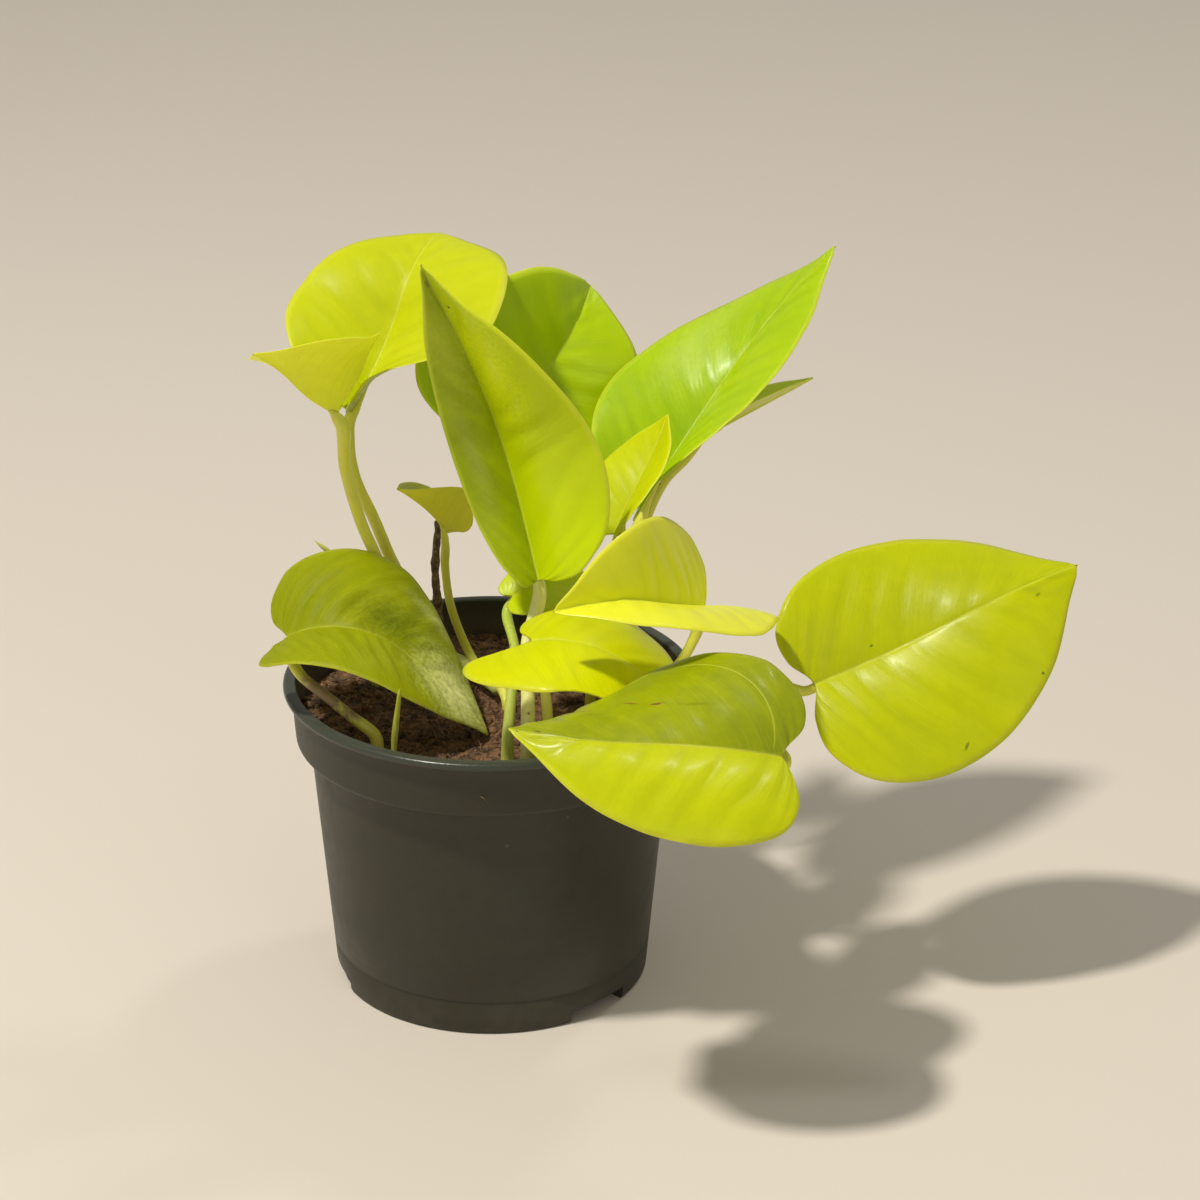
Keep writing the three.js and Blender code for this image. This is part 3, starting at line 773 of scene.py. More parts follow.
class Trees:
    """Geometry Nodes trees, each built once."""

    _made: dict[str, bpy.types.NodeTree] = {}

    @classmethod
    def sweep(cls) -> bpy.types.NodeTree:
        """Round stem along a line of points with a radius each, with a little surface unevenness."""
        if "sweep" in cls._made:
            return cls._made["sweep"]
        g, i, o = group(
            "stem_sweep", "GeometryNodeTree",
            {
                "Geometry": "NodeSocketGeometry", "Sides": 12, "Unevenness": 0.0, "Grain": 300.0,
                "Material": "NodeSocketMaterial",
            },
            {"Geometry": "NodeSocketGeometry"},
        )
        line = g.node("GeometryNodeMeshToCurve", {0: i.outputs["Geometry"]})
        ring = g.node("GeometryNodeCurvePrimitiveCircle", {"Resolution": i.outputs["Sides"], "Radius": 1.0})
        radius = g.node("GeometryNodeInputNamedAttribute", {"Name": "radius"}, data_type="FLOAT")
        tube = g.node(
            "GeometryNodeCurveToMesh",
            {"Curve": line.outputs[0], "Profile Curve": ring.outputs[0], "Scale": radius.outputs[0], "Fill Caps": True},
        )
        normal = g.node("GeometryNodeInputNormal")
        rough = g.node("ShaderNodeTexNoise", {"Scale": i.outputs["Grain"], "Detail": 3.0})
        amount = g.math("MULTIPLY", g.math("SUBTRACT", rough.outputs[0], 0.5), i.outputs["Unevenness"])
        shift = g.node("ShaderNodeVectorMath", {0: normal.outputs[0], "Scale": amount}, operation="SCALE")
        moved = g.node("GeometryNodeSetPosition", {"Geometry": tube.outputs[0], "Offset": shift.outputs[0]})
        solid = g.node("GeometryNodeRealizeInstances", {0: moved.outputs[0]})
        dressed = g.node(
            "GeometryNodeSetMaterial", {"Geometry": solid.outputs[0], "Material": i.outputs["Material"]}
        )
        g.tree.links.new(dressed.outputs[0], o.inputs[0])
        cls._made["sweep"] = g.tree
        return g.tree

    @classmethod
    def scatter(cls) -> bpy.types.NodeTree:
        """Bits of one shape strewn over the part of a surface whose attribute top is 1."""
        if "scatter" in cls._made:
            return cls._made["scatter"]
        g, i, o = group(
            "scatter", "GeometryNodeTree",
            {
                "Geometry": "NodeSocketGeometry", "Shape": "NodeSocketObject", "Density": 1000.0, "Smallest": 0.5,
                "Largest": 1.0, "Tilt": 3.14, "Unevenness": 0.0003, "Grain": 900.0, "Seed": 1,
                "Material": "NodeSocketMaterial",
            },
            {"Geometry": "NodeSocketGeometry"},
        )
        top = g.node("GeometryNodeInputNamedAttribute", {"Name": "top"}, data_type="FLOAT")
        chosen = g.math("GREATER_THAN", top.outputs[0], 0.5)
        points = g.node(
            "GeometryNodeDistributePointsOnFaces",
            {
                "Mesh": i.outputs["Geometry"], "Selection": chosen, "Density": i.outputs["Density"],
                "Seed": i.outputs["Seed"],
            },
        )
        turn = g.node("FunctionNodeRandomValue", {"Seed": i.outputs["Seed"]}, data_type="FLOAT_VECTOR")
        spread = g.node("ShaderNodeCombineXYZ", {0: i.outputs["Tilt"], 1: i.outputs["Tilt"], 2: 6.283})
        back = g.node("ShaderNodeVectorMath", {0: spread.outputs[0], "Scale": -1.0}, operation="SCALE")
        for key, source in ((0, back), (1, spread)):
            g.tree.links.new(source.outputs[0], turn.inputs[key])
        size = g.node(
            "FunctionNodeRandomValue",
            {2: i.outputs["Smallest"], 3: i.outputs["Largest"], "Seed": i.outputs["Seed"]}, data_type="FLOAT",
        )
        shape = g.node("GeometryNodeObjectInfo", {"Object": i.outputs["Shape"]})
        strewn = g.node(
            "GeometryNodeInstanceOnPoints",
            {
                "Points": points.outputs[0], "Instance": shape.outputs["Geometry"], "Rotation": turn.outputs[0],
                "Scale": size.outputs[1],
            },
        )
        solid = g.node("GeometryNodeRealizeInstances", {0: strewn.outputs[0]})
        rough = g.node("ShaderNodeTexNoise", {"Scale": i.outputs["Grain"], "Detail": 2.0})
        centred = g.node("ShaderNodeVectorMath", {0: rough.outputs[1], 1: (0.5, 0.5, 0.5)}, operation="SUBTRACT")
        shift = g.node(
            "ShaderNodeVectorMath", {0: centred.outputs[0], "Scale": i.outputs["Unevenness"]}, operation="SCALE"
        )
        moved = g.node("GeometryNodeSetPosition", {"Geometry": solid.outputs[0], "Offset": shift.outputs[0]})
        dressed = g.node(
            "GeometryNodeSetMaterial", {"Geometry": moved.outputs[0], "Material": i.outputs["Material"]}
        )
        g.tree.links.new(dressed.outputs[0], o.inputs[0])
        cls._made["scatter"] = g.tree
        return g.tree


def turn_about(vector: np.ndarray, axis: np.ndarray, angle: float) -> np.ndarray:
    """Turn a vector about an axis by an angle in radians.

    Args:
        vector: The vector.
        axis: Axis of length 1.
        angle: Angle in radians.

    Returns:
        The turned vector.
    """
    cos, sin = math.cos(angle), math.sin(angle)
    return vector * cos + np.cross(axis, vector) * sin + axis * (axis @ vector) * (1 - cos)


def smooth_path(points: list[Point], spacing: float) -> np.ndarray:
    """Even points on a centripetal curve through the given ones.

    Args:
        points: Points to pass through, in millimetres.
        spacing: Distance between the returned points.

    Returns:
        An array of points.
    """
    given = np.array(points, float)
    ends = np.vstack([2 * given[0] - given[1], given, 2 * given[-1] - given[-2]])
    dense = []
    for k in range(len(given) - 1):
        p0, p1, p2, p3 = ends[k : k + 4]
        d0, d1, d2 = (max(np.linalg.norm(b - a) ** 0.5, 1e-4) for a, b in ((p0, p1), (p1, p2), (p2, p3)))
        t1 = ((p1 - p0) / d0 - (p2 - p0) / (d0 + d1) + (p2 - p1) / d1) * d1
        t2 = ((p2 - p1) / d1 - (p3 - p1) / (d1 + d2) + (p3 - p2) / d2) * d1
        t = np.linspace(0, 1, 40)[:, None]
        dense.append(p1 + t1 * t + (-3 * p1 + 3 * p2 - 2 * t1 - t2) * t**2 + (2 * p1 - 2 * p2 + t1 + t2) * t**3)
    line = np.vstack(dense)
    run = np.concatenate([[0], np.cumsum(np.linalg.norm(np.diff(line, axis=0), axis=1))])
    even = np.linspace(0, run[-1], max(4, int(run[-1] / spacing)))
    return np.stack([np.interp(even, run, line[:, k]) for k in range(3)], axis=1)


def swept(
    name: str, path: np.ndarray, radius: np.ndarray, material: bpy.types.Material, sides: int = 14,
    unevenness: float = 0.0, grain: float = 300.0,
) -> bpy.types.Object:
    """Sweep a round stem along a path with Geometry Nodes.

    Args:
        name: The piece's name.
        path: Points in millimetres.
        radius: Radius at each point, in millimetres.
        material: Its material.
        sides: Sides of the stem.
        unevenness: How far the surface wanders, in millimetres.
        grain: Scale of that unevenness.

    Returns:
        The stem as a plain mesh object.
    """
    mesh = bpy.data.meshes.new(name)
    mesh.from_pydata([tuple(p * MM) for p in path], [(k, k + 1) for k in range(len(path) - 1)], [])
    for label, values in (("radius", radius * MM), ("run", np.linspace(0, 1, len(path)))):
        mesh.attributes.new(label, "FLOAT", "POINT").data.foreach_set("value", values.astype(np.float32))
    piece = new_piece(name, mesh)
    use_tree(
        piece, Trees.sweep(),
        {"Sides": sides, "Unevenness": unevenness * MM, "Grain": grain, "Material": material},
    )
    baked(piece)
    faces_out(piece, 1e-7)
    return piece


SOIL_TOP = 73.8
BOX_INSET = 0.03


def stem_foot(root: tuple[float, float]) -> list[Point]:
    """Return the straight start of a stem in its hole, in millimetres."""
    return [(*root, SOIL_TOP + rise) for rise in (-6.0, -3.0, 1.0)]


@dataclass(frozen=True)
class Leaf:
    """One leaf: a blade bent about its midrib and the stalk that carries it.

    The blade follows the same rule as the solid model: the midrib sets out from base at heading and
    rise with a roll, bends over its two halves, sweeps and twists; the halves are folded up (fold, at
    the stalk and at the tip) and curl to their edges (cup). Angles are in degrees, lengths in
    millimetres. The stalk leaves the soil at root, runs through via and has one radius at each end.

    The face's relief: quilt is the swelling between side veins, of which there are about as many as
    veins; crumple roughens it, swell and wave are slow rises of the face and the edge, crease arches
    each half and soft rounds the fold. Hold is how far the stalk runs on under the midrib. A bite is a
    side (0 left, 1 right), an outline share, a depth (below zero a bulge) and a half width.
    """

    name: str
    base: Point
    heading: float
    rise: float
    roll: float
    length: float
    left: float
    right: float
    bend: tuple[float, float]
    sweep: float
    twist: float
    fold: tuple[float, float]
    cup: float
    lobes: tuple[float, float]
    stalk: tuple[float, float]
    root: tuple[float, float]
    via: tuple[Point, ...]
    vine: tuple[Point, ...] = ()
    quilt: float = 0.34
    swell: float = 0.35
    crumple: float = 0.45
    wave: float = 0.45
    crease: float = 0.10
    soft: float = 0.4
    veins: float = 8.0
    hold: float = 9.0
    seed: float = 0.0
    bites: tuple[tuple[int, float, float, float], ...] = ()
    finish: LeafFinish = field(default_factory=LeafFinish)
    stalk_finish: StalkFinish = field(default_factory=StalkFinish)

    STEPS = 96
    ROWS = 96
    HALF = 22
    THICK = 0.36
    EDGE = 0.14
    RIB = 1.2
    OUTLINE = (
        (0, 0.05), (-1, 0.26), (-0.9, 0.56), (0.07, 0.86), (0.28, 1),
        (0.52, 0.92), (0.76, 0.62), (0.92, 0.22), (1, 0.03),
    )

    def midrib(self) -> dict[str, np.ndarray]:
        """Return stations along the midrib: place, ahead, up and side."""
        heading, rise = math.radians(self.heading), math.radians(self.rise)
        flat = np.array([math.cos(heading), math.sin(heading), 0.0])
        ahead = flat * math.cos(rise) + np.array([0, 0, math.sin(rise)])
        up = -flat * math.sin(rise) + np.array([0, 0, math.cos(rise)])
        up = turn_about(up, ahead, math.radians(self.roll))
        side = np.cross(up, ahead)
        place = np.array(self.base, float)
        rows = [(place, ahead, up, side)]
        for k in range(self.STEPS):
            down = 2 * math.radians(self.bend[0 if k < self.STEPS / 2 else 1]) / self.STEPS
            turn = math.radians(self.sweep) / self.STEPS
            middle = turn_about(turn_about(ahead, side, down / 2), up, turn / 2)
            place = place + middle * self.length / self.STEPS
            ahead = turn_about(ahead, side, down)
            up = turn_about(up, side, down)
            ahead = turn_about(ahead, up, turn)
            up = turn_about(up, ahead, math.radians(self.twist) / self.STEPS)
            side = np.cross(up, ahead)
            side = side / np.linalg.norm(side)
            rows.append((place, ahead, up, side))
        return {key: np.array([r[n] for r in rows]) for n, key in enumerate(("place", "ahead", "up", "side"))}

    def face(self, rib: dict[str, np.ndarray], along: np.ndarray, across: np.ndarray) -> np.ndarray:
        """Place points of the upper face.

        Args:
            rib: The midrib's stations.
            along: Distances along the midrib.
            across: Distances across it, left positive.

        Returns:
            The points, one row each.
        """
        share = np.clip(along / self.length, 0, 1)
        index = np.minimum((share * self.STEPS).astype(int), self.STEPS - 1)
        part = (share * self.STEPS - index)[:, None]
        at = {key: value[index] * (1 - part) + value[index + 1] * part for key, value in rib.items()}
        fold = np.radians(self.fold[0] + (self.fold[1] - self.fold[0]) * share)
        width = np.where(across < 0, self.right, self.left)
        curl = -math.radians(self.cup or 0.01) / width
        reach = np.sqrt(across**2 + self.soft**2) - self.soft
        out = (np.sin(fold + curl * np.abs(across)) - np.sin(fold)) / curl
        lift = (np.cos(fold) - np.cos(fold + curl * reach)) / curl
        return (
            at["place"]
            + at["ahead"] * np.minimum(along, 0)[:, None]
            + at["side"] * (np.sign(across) * out)[:, None]
            + at["up"] * lift[:, None]
        )

    def facing(self, rib: dict[str, np.ndarray], along: np.ndarray, across: np.ndarray) -> np.ndarray:
        """Return the way that the upper face looks at each point, from its neighbours."""
        step = 0.3
        ahead = self.face(rib, along + step, across) - self.face(rib, along - step, across)
        side = self.face(rib, along, across + step) - self.face(rib, along, across - step)
        normal = np.cross(ahead, side)
        return normal / np.linalg.norm(normal, axis=1)[:, None]

    @classmethod
    def outline(cls, share: float, lobe: float) -> tuple[float, float]:
        """Follow the outline of a half leaf.

        Args:
            share: From 0 at the notch to 1 at the tip.
            lobe: Length of the lobe behind the stalk.

        Returns:
            Share of the length and share of the half width.
        """
        points = np.array([(x * lobe if x < 0 else x, y) for x, y in cls.OUTLINE])
        last = len(points) - 1
        spot = min(share, 1.0) * last
        k = min(int(spot), last)
        t = spot - k
        p0, p1 = points[max(k - 1, 0)], points[k]
        p2, p3 = points[min(k + 1, last)], points[min(k + 2, last)]
        v0, v1 = (p2 - p0) / 2, (p3 - p1) / 2
        x, y = (2 * p1 - 2 * p2 + v0 + v1) * t**3 + (-3 * p1 + 3 * p2 - 2 * v0 - v1) * t**2 + v0 * t + p1
        taper = min(1.0, (1 - share) / 0.05 + 0.12)
        return float(x), float(y * taper)

    def relief(
        self, along: np.ndarray, share: np.ndarray, reach: np.ndarray, y: np.ndarray
    ) -> tuple[np.ndarray, np.ndarray]:
        """Height of the quilted face over the plain one, and the vein map's first value.

        The side veins leave the midrib at a slant and bow towards the tip. The face swells between
        them, each half is a little arched between midrib and margin, and the margin is rolled down.

        Args:
            along: Distance along the midrib of each point, in millimetres.
            share: Outline share of each point.
            reach: Distance from midrib to margin, 0 to 1.
            y: Signed distance across, in millimetres.

        Returns:
            Heights in millimetres and vein phases.
        """
        side = np.sign(y) * 3.7
        spot = along / self.length
        slant = 0.30 * reach**1.35 * (1 - 0.5 * np.clip(spot, 0, 1))
        wander = np.array([noise.noise(Vector((t * 4, d + self.seed, 0.3))) for t, d in zip(spot, side)])
        phase = self.veins * (spot - slant) + 0.55 * wander + 4.0 + 0.4 * (side > 0)
        skew = phase + 0.10 * np.sin(2 * np.pi * phase)
        bulge = -0.5 * np.cos(2 * np.pi * skew)
        strength = np.array(
            [0.75 + 0.9 * noise.noise(Vector((p * 0.8, r * 2.4, d + self.seed))) for p, r, d in zip(phase, reach, side)]
        )
        ripple = np.array(
            [noise.noise(Vector((p * 1.9, r * 3.2, d + self.seed + 5))) for p, r, d in zip(phase, reach, side)]
        )
        broad = np.array(
            [noise.noise(Vector((t * 4.0, r * 2.0 + d, self.seed + 9))) for t, r, d in zip(spot, reach, side)]
        )
        edge = np.array([noise.noise(Vector((t * 8, d, self.seed + 21))) for t, d in zip(spot, side)])
        middle = np.sin(np.pi * np.clip(reach, 0, 1) ** 0.75) ** 0.7
        ends = np.clip(share / 0.12, 0, 1) * np.clip((1 - share) / 0.1, 0, 1)
        half = np.abs(y) / np.maximum(reach, 0.02)
        height = self.quilt * (strength * bulge + self.crumple * ripple) * middle * ends
        height += self.swell * broad * middle * ends
        height += self.wave * edge * np.clip(reach, 0, 1) ** 3 * ends
        height += self.crease * half * (reach - reach**2) * np.clip((1 - share) / 0.2, 0, 1)
        height -= 0.20 * np.clip((reach - 0.93) / 0.07, 0, 1) ** 2
        height -= 0.20 * np.exp(-((y / 0.4) ** 2)) * (1 - 0.6 * share)
        return height, phase

    def blade(self) -> bpy.types.Object:
        """Build the blade as a closed sheet with its midrib beneath."""
        rib = self.midrib()
        columns = 2 * self.HALF + 1
        grid = np.zeros((self.ROWS + 1, columns, 5))
        for row in range(self.ROWS + 1):
            share = row / self.ROWS
            start = share**2.4
            for column in range(columns):
                across = (column - self.HALF) / self.HALF
                across = math.copysign(abs(across) ** 1.35, across)
                reach = abs(across)
                side = 1 if across < 0 else 0
                x, y = self.outline(share, self.lobes[side])
                for where, centre, depth, half in self.bites:
                    if where == side:
                        y *= 1 - depth * math.exp(-(((share - centre) / half) ** 2)) * reach**6
                along = (start + (x - start) * reach**1.3) * self.length
                grid[row, column] = along, across * y * (self.right if side else self.left), share, reach, across
        flat = grid.reshape(-1, 5)
        along, y, share, reach, _ = flat.T
        top = self.face(rib, along, y)
        facing = self.facing(rib, along, y)
        straight = self.facing(rib, along, np.zeros_like(y))
        height, phase = self.relief(along, share, reach, y)
        top = top + facing * height[:, None]
        blend = np.clip(np.abs(y) / 3.0, 0, 1)[:, None]
        push = straight * (1 - blend) + facing * blend
        push /= np.linalg.norm(push, axis=1)[:, None]
        thick = self.THICK + (self.EDGE - self.THICK) * np.clip((reach - 0.8) / 0.2, 0, 1) ** 2
        thick = thick / np.clip(np.sum(push * facing, axis=1), 0.4, 1)
        wide = 1.0 * (1 - 0.8 * share) + 0.22
        thick = thick + (self.RIB * (1 - share) ** 1.3 + 0.1) * np.exp(-((y / wide) ** 2))
        bottom = top - push * thick[:, None]

        count = len(flat)
        faces = []
        for row in range(self.ROWS):
            for column in range(columns - 1):
                a = row * columns + column
                b = a + columns
                faces.append((a, b, b + 1, a + 1))
                faces.append((a + count, a + 1 + count, b + 1 + count, b + count))
        rim = list(range(columns - 1))
        rim += [row * columns + columns - 1 for row in range(self.ROWS)]
        rim += [self.ROWS * columns + k for k in range(columns - 1, 0, -1)]
        rim += [row * columns for row in range(self.ROWS, 0, -1)]
        faces += [(a, b, b + count, a + count) for a, b in zip(rim, rim[1:] + rim[:1])]
        mesh = bpy.data.meshes.new(self.name)
        points = np.vstack([top, bottom]) * MM
        points = np.clip(points, np.array(CAD_BOX[0]) + BOX_INSET * MM, np.array(CAD_BOX[1]) - BOX_INSET * MM)
        mesh.from_pydata([tuple(p) for p in points], [], faces)

        corner = np.zeros(len(mesh.loops), np.int32)
        mesh.loops.foreach_get("vertex_index", corner)
        maps = {
            "veins": np.stack([np.tile(phase, 2), np.tile(reach, 2)], axis=1),
            "flat": np.stack([np.tile(along, 2), np.tile(y, 2)], axis=1) / FLAT_UNIT,
        }
        for label, values in maps.items():
            layer = mesh.uv_layers.new(name=label)
            layer.data.foreach_set("uv", values[corner].astype(np.float32).ravel())
        midline = np.exp(-((y / (0.38 * (1 - 0.75 * share) + 0.10)) ** 2))
        margin = np.clip((reach - 0.985) / 0.015, 0, 1)
        tip = np.clip((share - 0.93) / 0.07, 0, 1) ** 2
        areas = np.ones((2 * count, 4), np.float32)
        areas[:, 0] = np.tile(midline, 2)
        areas[:, 1] = np.tile(margin, 2)
        areas[:, 2] = np.repeat([0.0, 1.0], count)
        areas[:, 3] = np.tile(tip, 2)
        mesh.attributes.new("areas", "FLOAT_COLOR", "POINT").data.foreach_set("color", areas.ravel())
        piece = new_piece(self.name, mesh)
        faces_out(piece)
        mesh.materials.append(self.finish.material(self.name + "_blade"))
        return piece

    def petiole(self) -> bpy.types.Object:
        """Build the stalk from its hole to the underside of the midrib."""
        rib = self.midrib()
        base, ahead, up = (rib[key][0] for key in ("place", "ahead", "up"))
        reach = min(self.hold, 0.25 * self.length)
        under = self.face(rib, np.array([reach]), np.array([0.0]))[0]
        up_there = rib["up"][int(reach / self.length * self.STEPS)]
        end = [base - 2.5 * ahead - 4.0 * up, base + reach / 3 * ahead - 1.5 * up, under - 1.0 * up_there]
        path = smooth_path([*stem_foot(self.root), *self.via, *(tuple(p) for p in end)], 1.0)
        run = np.linspace(0, 1, len(path))
        length = len(path) * 1.0
        left = (1 - run) * length
        radius = self.stalk[0] + (self.stalk[1] - self.stalk[0]) * run
        radius = radius * (1 + 0.16 * np.exp(-(((left - reach - 6) / 3.5) ** 2)) + 0.22 * np.exp(-run * length / 9))
        radius = radius * np.clip(left / (reach + 2) + 0.25, 0.25, 1)
        return swept(
            self.name + "_stalk", path, radius, self.stalk_finish.material(self.name + "_stalk"),
            unevenness=0.12, grain=260.0,
        )

    def build(self) -> bpy.types.Object:
        """Build the whole leaf: its blade joined with its stalk and any vine."""
        parts = [self.petiole()]
        if self.vine:
            path = smooth_path(list(self.vine), 0.8)
            run = np.arange(len(path)) * 0.8
            knots = sum(np.exp(-(((run - k) / 0.9) ** 2)) for k in (4.0, 15.0))
            radius = 1.85 * (1 + 0.12 * knots) * np.clip(np.minimum(run, run[::-1]) / 1.2 + 0.5, 0, 1)
            skin = StalkFinish(low=(0.50, 0.52, 0.16), high=(0.46, 0.50, 0.13)).material(self.name + "_vine")
            parts.append(swept(self.name + "_vine", path, radius, skin, sides=18, unevenness=0.25, grain=220.0))
        return joined(self.blade(), parts)


def hue(upper: tuple[int, int, int], deep: tuple[int, int, int], **more: object) -> LeafFinish:
    """Make a leaf finish from the display colours of its upper face.

    Args:
        upper: The face's main colour.
        deep: Its darker patches.
        **more: Other fields of the finish.

    Returns:
        The finish.
    """
    return LeafFinish(upper=srgb(*upper), deep=srgb(*deep), **more)


